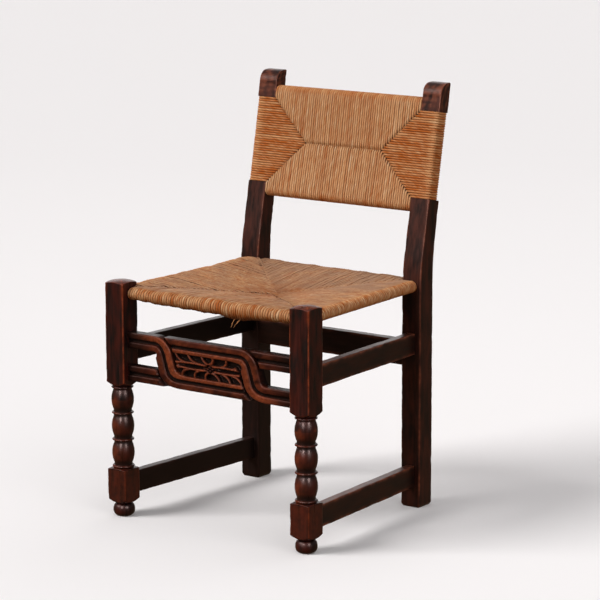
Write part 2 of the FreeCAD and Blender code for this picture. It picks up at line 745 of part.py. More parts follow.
save_pair("front_leg", front_leg().cut(leg_joints()))
save_pair("rear_post", rear_post().cut([wrap_seat()] + post_joints()))
save_pair("upper_side_stretcher", side_stretcher(upper_line, upper_bottom, upper_height, upper_thickness))
save_pair("lower_side_stretcher", side_stretcher(lower_line, lower_bottom, lower_height, lower_thickness))
save("upper_rear_stretcher", rear_stretcher())
save("carved_front_rail", front_rail())
save("seat_rail_front", level_rail(x_leg_in, seat_front_y, seat_tenon_length))
save("seat_rail_rear", level_rail(x_post_in, seat_rear_y, seat_tenon_length))
save_pair("seat_rail", side_rail())
for name, place in back_rail_places.items():
    save("back_rail_" + name, whole_back_rail(place))
save("seat_rush", seat_rush())
save("seat_stuffing", seat_mass(rush + soft_gap, stuffing_reach - soft_gap / seat_middle_back))
save("back_rush", leaned(back_rush()))
save("back_stuffing", leaned(back_room(rush + soft_gap, stuffing_margin + soft_gap)))
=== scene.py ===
"""Dresses the rush seat chair: dark waxed oak, a carved strapwork rail, a seat and back of twisted rush."""
import logging
import math
from dataclasses import dataclass, field
from enum import Enum
from typing import ClassVar

import bpy
import numpy as np
from mathutils import Matrix, Vector


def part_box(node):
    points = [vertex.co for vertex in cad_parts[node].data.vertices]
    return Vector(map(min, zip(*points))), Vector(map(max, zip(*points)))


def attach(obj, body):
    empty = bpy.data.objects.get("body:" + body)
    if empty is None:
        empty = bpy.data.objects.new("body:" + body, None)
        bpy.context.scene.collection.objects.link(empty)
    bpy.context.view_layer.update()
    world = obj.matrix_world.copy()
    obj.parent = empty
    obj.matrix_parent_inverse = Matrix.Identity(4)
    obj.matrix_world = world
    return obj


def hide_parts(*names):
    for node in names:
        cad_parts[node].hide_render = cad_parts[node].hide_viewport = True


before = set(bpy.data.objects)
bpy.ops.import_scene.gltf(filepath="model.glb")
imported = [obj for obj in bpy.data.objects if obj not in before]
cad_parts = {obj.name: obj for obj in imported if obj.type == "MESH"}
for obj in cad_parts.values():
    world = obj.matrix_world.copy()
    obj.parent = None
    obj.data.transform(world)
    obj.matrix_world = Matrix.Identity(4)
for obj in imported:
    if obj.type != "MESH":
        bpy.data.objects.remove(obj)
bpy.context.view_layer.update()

MM = 0.001                      # millimetres to Blender's metres
MIX_A, MIX_B, MIX_OUT = 6, 7, 2  # colour sockets of a Mix node
ATTRIBUTE_FAC = 2               # the Attribute node's number output
ATTRIBUTE_VECTOR = 1            # and its vector output
NOISE_WINDOW = (0.3, 0.7)       # most of a noise's values lie in here
SHARP_ANGLE = math.radians(42)  # edges that turn more than this stay crisp
log = logging.getLogger("chair")
Array = np.ndarray


class Grain(Enum):
    """Axis that the wood's grain runs along."""
    ACROSS = 0
    DEEP = 1
    UPRIGHT = 2


class Hand(Enum):
    """Side of the chair as seen from the front."""
    RIGHT = 1
    LEFT = -1


def linear(code: str) -> tuple[float, float, float, float]:
    """Turns an sRGB hex colour into linear RGBA.

    Args:
        code: Colour such as "#b98a5c".

    Returns:
        Linear red, green, blue and an alpha of 1.
    """
    parts = [int(code[k:k + 2], 16) / 255 for k in (1, 3, 5)]
    lin = [p / 12.92 if p <= 0.04045 else ((p + 0.055) / 1.055) ** 2.4 for p in parts]
    return (*lin, 1.0)


def corner(node: str) -> tuple[Array, Array]:
    """Lowest and highest corner of a CAD node, in millimetres."""
    low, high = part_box(node)
    return np.array(low) / MM, np.array(high) / MM


def step(x: Array, start: float, end: float) -> Array:
    """Smooth step: 0 before start, 1 after end, with level ends between."""
    t = np.clip((np.asarray(x, float) - start) / (end - start), 0, 1)
    return t * t * (3 - 2 * t)


def soft_min(a: Array, b: Array, width: float) -> Array:
    """Smaller of two values, rounded where they come within a width of each other."""
    h = np.clip(0.5 + 0.5 * (b - a) / width, 0, 1)
    return b + (a - b) * h - width * h * (1 - h)


def drift(places: Array, wave: float, seed: int) -> Array:
    """Smooth wandering value of about -1 to 1: the mean of sine waves in seeded directions and phases.

    Args:
        places: Array whose last axis holds coordinates, in millimetres.
        wave: Typical wavelength in millimetres.
        seed: Seed of the waves.

    Returns:
        Array of the shape of places without its last axis.
    """
    rng = np.random.default_rng(seed)
    waves = rng.normal(size=(places.shape[-1], 7)) * 2 * math.pi / wave
    return np.sin(places @ waves + rng.uniform(0, 2 * math.pi, 7)).mean(-1) * 1.8


def line_of(values: Array) -> Array:
    """Gives a plain array the last axis of length 1 that drift reads."""
    return np.asarray(values, float)[..., None]


def skin_places(along: Array, way: Array, radius: float) -> Array:
    """Places on a bar's skin for drift to read: how far along the bar, and how far round it.

    Args:
        along: Distance of each ring along the bar (rings, 1).
        way: Direction of each point of a ring from the bar's middle (points, 2).
        radius: Radius at which the angle round the bar becomes a length.

    Returns:
        Places (rings, points, 2).
    """
    around = np.arctan2(way[:, 1], way[:, 0])[None] * radius
    return np.stack(np.broadcast_arrays(along, around), -1)


def chips(places: Array, waves: tuple[float, float], seed: int) -> Array:
    """Share of wood chipped off an arris: long stretches with ragged edges, 0 to 1.

    Args:
        places: Places on the skin.
        waves: Lengths of the stretches and of the raggedness.
        seed: Seed of both.

    Returns:
        Share at each place.
    """
    return np.clip(drift(places, waves[0], seed) + 0.3 * drift(places, waves[1], seed + 1), 0, 1)


def strung(parts: list[dict[str, Array]]) -> dict[str, Array]:
    """Strings the fields of several skins together, name by name."""
    return {label: np.concatenate([part[label] for part in parts]) for label in parts[0]}


def unit_square(per_side: int, sharpness: float) -> tuple[Array, Array]:
    """Outline of a unit square with softened corners, anticlockwise.

    A side's points crowd towards its ends as a sine does, and each point is drawn in by the power norm
    of its two coordinates, which rounds the corners.

    Args:
        per_side: Points on each side.
        sharpness: Power of the norm; higher is sharper.

    Returns:
        Outline points (n, 2), and each point's distance from its nearest corner as a share of half a side.
    """
    t = np.sin(np.linspace(-1, 1, per_side, endpoint=False) * math.pi / 2)
    one = np.ones(per_side)
    sides = [np.stack(p, -1) for p in ((one, t), (-t, one), (-one, -t), (t, -one))]
    points = np.concatenate(sides)
    norm = (np.abs(points) ** sharpness).sum(-1) ** (1 / sharpness)
    return points / norm[:, None], np.tile(1 - np.abs(t), 4)


def lofted(rings: Array) -> tuple[Array, Array, Array]:
    """Skin through rings: each ring is joined to the next by quads and each end closed by a fan.

    Args:
        rings: Points (..., rings, points on a ring, 3); leading axes hold separate skins.

    Returns:
        Vertices, quads and triangles.
    """
    rings = rings.reshape(-1, *rings.shape[-3:])
    skins, count, size = rings.shape[:3]
    ends = rings[:, [0, -1]].mean(2)
    vertices = np.concatenate([rings.reshape(-1, 3), ends.reshape(-1, 3)])
    index = np.arange(skins * count * size).reshape(skins, count, size)
    here, after = index, np.roll(index, -1, 2)
    quads = np.stack([here[:, :-1], after[:, :-1], after[:, 1:], here[:, 1:]], -1).reshape(-1, 4)
    poles = skins * count * size + np.arange(2 * skins).reshape(skins, 2, 1)
    first = np.stack([after[:, 0], here[:, 0], np.broadcast_to(poles[:, 0], here[:, 0].shape)], -1)
    last = np.stack([here[:, -1], after[:, -1], np.broadcast_to(poles[:, 1], here[:, 0].shape)], -1)
    return vertices, quads, np.concatenate([first, last]).reshape(-1, 3)


def with_poles(values: Array) -> Array:
    """Spreads a per-ring-point field to the fan centres that lofted adds at the end of its vertices."""
    values = values.reshape(-1, *values.shape[-2:]) if values.ndim > 2 else values[None]
    return np.concatenate([values.ravel(), values[:, [0, -1]].mean(2).ravel()])


def signed_volume(points: Array, quads: Array, triangles: Array) -> float:
    """Six times the enclosed volume, negative when the faces point inwards.

    Args:
        points: Vertices.
        quads: Four-sided faces.
        triangles: Three-sided faces.

    Returns:
        The volume's sixfold: the sum of every triangle's triple product.
    """
    halves = np.concatenate([quads[:, :3], quads[:, [0, 2, 3]], triangles])
    a, b, c = (points[halves[:, k]] for k in range(3))
    return float(np.einsum("ij,ij->", a, np.cross(b, c)))


def make_piece(name: str, skins: list[tuple[Array, Array, Array]], fields: dict[str, Array],
               material: bpy.types.Material, nodes: list[str]) -> bpy.types.Object:
    """Puts skins into one mesh object that rides on the chair and stands for CAD nodes.

    Args:
        name: Name of the piece.
        skins: Vertices in millimetres, quads and triangles of each closed skin.
        fields: Values per vertex, numbers or vectors, in the skins' order.
        material: Finish of the piece.
        nodes: CAD nodes that the piece stands for.

    Returns:
        The new object.
    """
    start, points, faces = 0, [], []
    for vertices, quads, triangles in skins:
        turn = 1 if signed_volume(vertices, quads, triangles) > 0 else -1
        faces += (quads[:, ::turn] + start).tolist() + (triangles[:, ::turn] + start).tolist()
        points.append(vertices)
        start += len(vertices)
    mesh = bpy.data.meshes.new(name)
    mesh.from_pydata((np.concatenate(points) * MM).tolist(), [], faces)
    for label, values in fields.items():
        kind, key = ("FLOAT", "value") if values.ndim == 1 else ("FLOAT_VECTOR", "vector")
        mesh.attributes.new(label, kind, "POINT").data.foreach_set(key, values.astype(np.float32).ravel())
    mesh.polygons.foreach_set("use_smooth", np.ones(len(mesh.polygons), bool))
    mesh.set_sharp_from_angle(angle=SHARP_ANGLE)
    mesh.materials.append(material)
    piece = bpy.data.objects.new(name, mesh)
    bpy.context.scene.collection.objects.link(piece)
    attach(piece, "root")
    if nodes:
        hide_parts(*nodes)
    log.info("%s: %d faces", name, len(mesh.polygons))
    return piece


def add_node(tree: bpy.types.NodeTree, kind: str, inputs: dict | list, out: int | str = 0,
             **settings: object) -> bpy.types.NodeSocket | None:
    """Adds a shader node.

    Args:
        tree: Node tree of a material or world.
        kind: Node type.
        inputs: Value or linked output for each input: by name or number, or a list in the node's own order.
        out: Output to hand back, by name or number.
        settings: Properties of the node.

    Returns:
        The chosen output, or nothing from a node that has none.
    """
    node = tree.nodes.new(kind)
    for name, value in settings.items():
        setattr(node, name, value)
    for key, value in inputs.items() if isinstance(inputs, dict) else enumerate(inputs):
        if isinstance(value, bpy.types.NodeSocket):
            tree.links.new(value, node.inputs[key])
        else:
            node.inputs[key].default_value = value
    return node.outputs[out] if len(node.outputs) else None


def marks(size: float) -> float:
    """Scale of a noise whose marks are about a size across, in millimetres."""
    return 1 / (size * MM)


def new_material(name: str) -> tuple[bpy.types.Material, bpy.types.NodeTree]:
    """Makes a material with an empty node tree.

    Args:
        name: Name of the material.

    Returns:
        The material and its tree.
    """
    material = bpy.data.materials.new(name)
    material.use_nodes = True
    material.node_tree.nodes.clear()
    return material, material.node_tree


@dataclass(frozen=True)
class WaxedOak:
    """Oak under dark stain and old wax: near black in the pores and, as painted shade, in the hollows;
    red-brown where hands have thinned it and, as painted light, on the barrels' lit side.
    """
    name: str
    grain: Grain
    dark: str = "#140e0d"
    warm: str = "#3b1a12"
    worn_and_lit: str = "#7c432f"
    # colour of the pores and of the painted shade
    hollow: str = "#0e0b0a"
    roughness: float = 0.36
    specular: float = 0.22
    sheen: str = "#ffc2b2"      # the wax's own tint in what it mirrors
    stretch: float = 14.0       # figure's length along the grain over its width
    patch_mm: float = 17.5
    patch_stretch: float = 3.0  # and the stain's patches'
    scuff_mm: float = 10.0
    grain_depth: float = 0.4    # millimetres
    grain_bump: float = 0.35
    streak_mm: float = 5.0
    streak_share: float = 0.6   # weight of the streaks beside the patches
    tone_window: tuple[float, float] = (0.62, 1.0)    # patches and streaks from all dark to all warm
    pore_mm: float = 1.6        # real pores are 0.3 mm; drawn this coarse so that they show
    pore_window: tuple[float, float] = (0.60, 0.72)
    pore_dark: float = 0.35
    rub_window: tuple[float, float] = (0.32, 0.62)    # scuffs that break up the wear and the painted light
    least_rub: float = 0.4
    shade_window: tuple[float, float] = (0.2, 0.5)     # and the painted shade
    least_shade: float = 0.75
    smoother: float = 0.06      # roughness taken off or put on by the streaks
    rougher: float = 0.10

    def material(self) -> bpy.types.Material:
        """Stain in patches and streaks along the grain, open pores, rubbed arrises with painted light, and
        painted shade in the hollows and wherever the pieces mark it.

        Returns:
            The material.
        """
        material, tree = new_material(self.name)
        place = add_node(tree, "ShaderNodeTexCoord", {}, out="Object")
        shift = (len(self.name) * 0.37, self.grain.value * 0.53, len(self.name) * 0.11)
        laid = []
        for stretch in (self.stretch, self.patch_stretch):
            squeeze = [1.0, 1.0, 1.0]
            squeeze[self.grain.value] = 1 / stretch
            laid.append(add_node(tree, "ShaderNodeMapping", {
                "Vector": place, "Scale": squeeze, "Location": shift}))
        along, mottled = laid
        patch, streak, pore, scuff = (
            add_node(tree, "ShaderNodeTexNoise", {"Vector": way, "Scale": marks(size), "Detail": detail})
            for way, size, detail in ((mottled, self.patch_mm, 4.0), (along, self.streak_mm, 5.0),
                                      (along, self.pore_mm, 2.0), (place, self.scuff_mm, 4.0)))
        wear, hollow = (add_node(tree, "ShaderNodeAttribute", {}, out=ATTRIBUTE_FAC, attribute_name=label)
                        for label in ("wear", "hollow"))
        tone = add_node(tree, "ShaderNodeMath", [streak, self.streak_share, patch], operation="MULTIPLY_ADD")
        tone = add_node(tree, "ShaderNodeMapRange", [tone, *self.tone_window, 0.0, 1.0])
        open_pore = add_node(tree, "ShaderNodeMapRange", [pore, *self.pore_window, 0.0, self.pore_dark])
        rub = add_node(tree, "ShaderNodeMapRange", [scuff, *self.rub_window, self.least_rub, 1.0])
        rub = add_node(tree, "ShaderNodeMath", [wear, rub], operation="MULTIPLY")
        painted_darkening = add_node(tree, "ShaderNodeMapRange", [scuff, *self.shade_window, self.least_shade, 1.0])
        painted_darkening = add_node(tree, "ShaderNodeMath", [hollow, painted_darkening], operation="MULTIPLY")
        # The rub layer also carries painted light, and the last layer painted shade.
        colour = linear(self.dark)
        layers = ((tone, self.warm), (open_pore, self.hollow), (rub, self.worn_and_lit), (painted_darkening, self.hollow))
        for share, over in layers:
            colour = add_node(tree, "ShaderNodeMix", {0: share, MIX_A: colour, MIX_B: linear(over)},
                              out=MIX_OUT, data_type="RGBA")
        low, high = self.roughness - self.smoother, self.roughness + self.rougher
        rough = add_node(tree, "ShaderNodeMapRange", [streak, *NOISE_WINDOW, low, high])
        relief = add_node(tree, "ShaderNodeMath", [streak, pore], operation="SUBTRACT")
        bump = add_node(tree, "ShaderNodeBump", {
            "Strength": self.grain_bump, "Distance": self.grain_depth * MM, "Height": relief})
        shader = add_node(tree, "ShaderNodeBsdfPrincipled", {
            "Base Color": colour, "Roughness": rough, "Normal": bump, "IOR": 1.5,
            "Specular IOR Level": self.specular, "Specular Tint": linear(self.sheen)})
        add_node(tree, "ShaderNodeOutputMaterial", [shader])
        return material


@dataclass(frozen=True)
class TwistedRush:
    """Dried rush twisted into cord: straw to orange-brown, matt, with fibres that wind along each strand."""
    name: str
    deep: str = "#b05a17"
    straw: str = "#d59e6b"
    pale: str = "#ecc8a1"
    faded: str = "#a27c60"
    # colour of the painted shade in the gaps between strands
    gap: str = "#4a220b"
    roughness: float = 0.62
    fibre_mm: float = 1.3
    fibre_length: float = 22.0  # fibre's length over its width
    ply_mm: float = 3.2         # leaves twisted together in a strand
    ply_length: float = 9.0
    blotch_mm: float = 24.0
    fibre_swing: float = 0.18   # how far each of the three shifts the tone
    ply_swing: float = 0.16
    blotch_swing: float = 0.10
    straw_tone: float = 0.55    # tone that is plain straw; deep lies below it and pale above
    twist_mm: float = 42.0      # one turn of the twist
    fibre_bump: float = 0.5
    fibre_depth: float = 0.5    # millimetres
    specular: float = 0.12

    def material(self) -> bpy.types.Material:
        """Colour from each strand's own tone, broken by leaves and fibres that turn round the strand.

        Returns:
            The material.
        """
        material, tree = new_material(self.name)
        lay = add_node(tree, "ShaderNodeAttribute", {}, out=ATTRIBUTE_VECTOR, attribute_name="lay")
        length = add_node(tree, "ShaderNodeSeparateXYZ", [lay])
        per_metre = 2 * math.pi / (self.twist_mm * MM)
        turn = add_node(tree, "ShaderNodeMath", [length, per_metre], operation="MULTIPLY")
        wound = add_node(tree, "ShaderNodeVectorRotate", {"Vector": lay, "Angle": turn},
                         rotation_type="X_AXIS")
        tone, age, depth = (add_node(tree, "ShaderNodeAttribute", {}, out=ATTRIBUTE_FAC, attribute_name=label)
                            for label in ("tone", "age", "depth"))
        figures = ((self.blotch_mm, 1.0, self.blotch_swing), (self.ply_mm, self.ply_length, self.ply_swing),
                   (self.fibre_mm, self.fibre_length, self.fibre_swing))
        for size, stretch, swing in figures:
            place = add_node(tree, "ShaderNodeMapping", {"Vector": wound, "Scale": (1 / stretch, 1.0, 1.0)})
            fibre = add_node(tree, "ShaderNodeTexNoise", {
                "Vector": place, "Scale": marks(size), "Detail": 3.0})
            change = add_node(tree, "ShaderNodeMapRange", [fibre, *NOISE_WINDOW, -swing, swing])
            tone = add_node(tree, "ShaderNodeMath", [tone, change], operation="ADD")
        lighter = add_node(tree, "ShaderNodeMapRange", [tone, 0.0, self.straw_tone, 0.0, 1.0])
        palest = add_node(tree, "ShaderNodeMapRange", [tone, self.straw_tone, 1.0, 0.0, 1.0])
        colour = linear(self.deep)
        # The depth field is painted shade: valleys between strands, flanks, tucked ends and the rolls'
        # undersides.
        layers = ((lighter, self.straw), (palest, self.pale), (age, self.faded), (depth, self.gap))
        for share, over in layers:
            colour = add_node(tree, "ShaderNodeMix", {0: share, MIX_A: colour, MIX_B: linear(over)},
                              out=MIX_OUT, data_type="RGBA")
        bump = add_node(tree, "ShaderNodeBump", {
            "Strength": self.fibre_bump, "Distance": self.fibre_depth * MM, "Height": fibre})
        shader = add_node(tree, "ShaderNodeBsdfPrincipled", {
            "Base Color": colour, "Roughness": self.roughness, "Normal": bump, "IOR": 1.45,
            "Specular IOR Level": self.specular})
        add_node(tree, "ShaderNodeOutputMaterial", [shader])
        return material


@dataclass(frozen=True)
class PlainFill:
    """Bare sawn wood or loose rush ends, hidden inside the weave: matt, with a coarse fleck."""
    name: str
    base: str
    fleck: str
    fleck_mm: float
    fleck_window: tuple[float, float] = (0.35, 0.65)
    fleck_bump: float = 0.4
    fleck_depth: float = 0.5    # millimetres
    roughness: float = 0.8

    def material(self) -> bpy.types.Material:
        """Two colours in flecks.

        Returns:
            The material.
        """
        material, tree = new_material(self.name)
        place = add_node(tree, "ShaderNodeTexCoord", {}, out="Object")
        fleck = add_node(tree, "ShaderNodeTexNoise", {
            "Vector": place, "Scale": marks(self.fleck_mm), "Detail": 4.0})
        share = add_node(tree, "ShaderNodeMapRange", [fleck, *self.fleck_window, 0.0, 1.0])
        colour = add_node(tree, "ShaderNodeMix", {
            0: share, MIX_A: linear(self.base), MIX_B: linear(self.fleck)}, out=MIX_OUT, data_type="RGBA")
        bump = add_node(tree, "ShaderNodeBump", {
            "Strength": self.fleck_bump, "Distance": self.fleck_depth * MM, "Height": fleck})
        shader = add_node(tree, "ShaderNodeBsdfPrincipled", {
            "Base Color": colour, "Roughness": self.roughness, "Normal": bump})
        add_node(tree, "ShaderNodeOutputMaterial", [shader])
        return material


@dataclass
class FrontLeg:
    """Square front leg turned on the lathe: bun foot, blocks, three barrels between rings, domed head."""
    hand: Hand
    half: float = 22.5
    base_radius: float = 11.0
    bun_radius: float = 21.3
    bun_middle: float = 11.5
    neck_low: float = 14.5
    neck_low_height: float = 25.0
    block_low: float = 35.0
    block_high: float = 95.0
    crown: float = 2.5
    collar: float = 6.5
    barrel_length: float = 40.0
    barrel_radius: float = 22.0
    ring: float = 5.3
    ring_radius: float = 21.6
    neck: float = 17.8
    neck_gap: float = 4.0
    shoulder: float = 9.0
    height: float = 471.5
    dome_radius: float = 92.0
    barrels: int = 3
    beyond: float = 40.0        # lathe radius that leaves the square block untouched
    rubbed: float = 1.7         # width of the worn arris
    eased: float = 0.25         # wood gone from every arris
    chipped: float = 0.9        # and more where it is chipped
    chip_waves: tuple[float, float] = (34.0, 9.0)
    seam: float = 1.6           # rounding where the lathe's cut meets a face
    uneven: float = 0.12        # wander of the skin
    lit_side: tuple[float, float] = (-0.8, -0.6)  # painted light: the barrels are painted redder on this side, where the light falls, and painted shade on the other
    crown_reach: float = 46.0   # how far below the head the corners carry wear and a painted highlight
    crown_width: float = 5.0
    seam_wear: float = 0.4
    crest_wear: float = 0.45
    # wear of the barrels, with painted light on their lit side
    barrel_wear_and_light: float = 0.36
    dome_wear: float = 0.32
    low_block_wear: float = 0.12
    # painted shade in the necks
    neck_shade: float = 0.85
    far_shade: float = 0.5       # painted shade on the barrels' side away from the light
    sharpness: float = 34.0
    per_side: int = 20

    def bow(self, low: float, high: float, edge: float, full: float, count: int) -> Array:
        """Rows of radius and height on a round swelling between two heights.

        The swelling is a sine power between its edge radius and its full radius.

        Args:
            low: Height where it begins.
            high: Height where it ends.
            edge: Radius at both.
            full: Radius in the middle.
            count: Number of rows.

        Returns:
            Rows (count, 2), in millimetres.
        """
        t = np.linspace(0, 1, count)
        radius = edge + (full - edge) * np.sin(t * math.pi) ** 0.62
        return np.stack([radius, low + (high - low) * t], -1)

    def barrel(self, low: float) -> Array:
        """Rows of one barrel: a parabola from neck to fullest radius and back.

        Args:
            low: Height where it begins.

        Returns:
            Rows (n, 2), in millimetres.
        """
        t = np.linspace(-1, 1, 25)
        radius = self.barrel_radius - (self.barrel_radius - self.neck) * t * t
        return np.stack([radius, low + self.barrel_length * (t + 1) / 2], -1)

    def profile(self) -> Array:
        """Lathe's path from the floor to the head, as rows of radius and height.

        Returns:
            Rows (n, 2), in millimetres.
        """
        t = np.linspace(0, 1, 17)
        low = self.base_radius + (self.bun_radius - self.base_radius) * np.sin(t * math.pi / 2)
        rows = [np.stack([low, self.bun_middle * (1 - np.cos(t * math.pi / 2))], -1)]
        high = self.neck_low + (self.bun_radius - self.neck_low) * np.cos(t[1:] * math.pi / 2)
        rise = self.neck_low_height - self.bun_middle
        rows.append(np.stack([high, self.bun_middle + rise * np.sin(t[1:] * math.pi / 2)], -1))
        corner_radius = self.half * math.sqrt(2)
        rows.append(self.cone((self.neck_low, self.neck_low_height), (corner_radius, self.block_low), 14))
        rows.append(self.cone((self.beyond, self.block_low + 1), (self.beyond, self.block_high - 1), 14))
        z = self.block_high + self.crown
        rows.append(self.cone((corner_radius, self.block_high), (self.ring_radius - self.ring / 2, z), 10))
        rows.append(self.bow(z, z + self.collar, self.neck, self.ring_radius, 15))
        z += self.collar + self.neck_gap
        for k in range(self.barrels):
            rows.append(self.barrel(z))
            z += self.barrel_length + self.neck_gap * (1 if k < self.barrels - 1 else 0.5)
            rows.append(self.bow(z, z + self.ring, self.neck, self.ring_radius, 13))
            z += self.ring + self.neck_gap
        z -= self.neck_gap
        rows.append(self.cone((self.neck, z), (corner_radius, z + self.shoulder), 16))
        edge = self.dome_radius - math.sqrt(self.dome_radius ** 2 - corner_radius ** 2)
        top = self.height - edge
        rows.append(self.cone((self.beyond, z + self.shoulder + 1), (self.beyond, top - 1), 42))
        radius = corner_radius * (1 - np.linspace(0, 0.98, 46))
        fall = self.dome_radius - np.sqrt(self.dome_radius ** 2 - radius ** 2)
        rows.append(np.stack([radius, self.height - fall], -1))
        return np.concatenate(rows)

    @staticmethod
    def cone(start: tuple, end: tuple, count: int) -> Array:
        """Rows on a straight line between two radius and height pairs."""
        t = np.linspace(0, 1, count)[:, None]
        return np.array(start) * (1 - t) + np.array(end) * t

    def build(self, finish: bpy.types.Material, node: str) -> bpy.types.Object:
        """Makes the leg: along each direction its radius is the smaller of the square's and the lathe's.

        Args:
            finish: Wood.
            node: CAD node that the leg stands for.

        Returns:
            The leg.
        """
        low, high = corner(node)
        centre = (low + high) / 2
        outline, inset = unit_square(self.per_side, self.sharpness)
        rows = self.profile()
        z = rows[:, 1:]
        reach = np.linalg.norm(outline, axis=1)
        way = outline / reach[:, None]
        seed = 11 + self.hand.value
        spot = skin_places(z, way, self.half)
        arris = np.exp(-(inset * self.half / self.rubbed) ** 2)
        lost = self.eased + self.chipped * chips(spot, self.chip_waves, seed)
        square = self.half * reach[None] - arris[None] * lost
        lathe = np.broadcast_to(rows[:, :1], square.shape)
        squared = (lathe > self.barrel_radius + 0.2) | (z > self.height / 2)
        radius = np.where(squared, soft_min(square, lathe, self.seam), lathe)
        radius = radius + self.uneven * drift(spot, 40, seed + 2)
        rings = np.stack([centre[0] + radius * way[:, 0], centre[1] + radius * way[:, 1],
                          np.broadcast_to(z, radius.shape)], -1)
        turned, above_foot = ~squared, z > self.block_low
        # The arrises of the block, most at the front and high up, and the corners of the head, whose wear
        # also stands for a painted highlight.
        ahead = 0.45 + 0.5 * step(-way[:, 1], 0.0, 0.7)
        on_block = step(lathe - square, 0.0, 2.0)
        rub = np.clip(on_block * (arris * ahead)[None] * (0.8 + 0.5 * drift(spot, 60, seed + 3)), 0, 1)
        crown = np.exp(-(inset * self.half / self.crown_width) ** 2)[None]
        crown = crown * step(z, self.height - self.crown_reach, self.height - 8)
        higher = 0.35 + 0.65 * step(z, self.block_high, self.height / 2)
        rub = 1.2 * rub * higher + 0.45 * crown * ahead[None]
        # The seams, the crests of rings and barrels, painted light on the barrels' lit side, and the dome.
        meeting = np.exp(-(lathe - square) ** 2) * squared
        crest = step(np.gradient(np.gradient(rows[:, 0])), 0, -0.9)[:, None] * turned
        toward_light = way @ np.array(self.lit_side)
        glow = 0.3 + 0.7 * step(toward_light, -0.1, 0.9)[None]
        wear = rub + self.seam_wear * meeting * above_foot + self.crest_wear * crest
        wear = wear + self.barrel_wear_and_light * glow * turned * above_foot
        wear = wear + self.dome_wear * step(z, self.height - 4.5, self.height - 2.0)
        wear = np.clip(wear + self.low_block_wear * squared * (z < self.block_high), 0, 1)
        # Painted shade in the necks, reaching up the barrels' ends, and on the barrels' side away from the
        # light.
        shade = self.neck_shade * step(lathe, self.neck + 4.4, self.neck + 0.2) * (z > self.block_high)
        shade = np.maximum(shade, self.far_shade * step(-toward_light, 0.2, 0.95)[None]) * turned
        fields = {"wear": with_poles(wear), "hollow": with_poles(shade)}
        return make_piece(node, [lofted(rings)], fields, finish, [node])


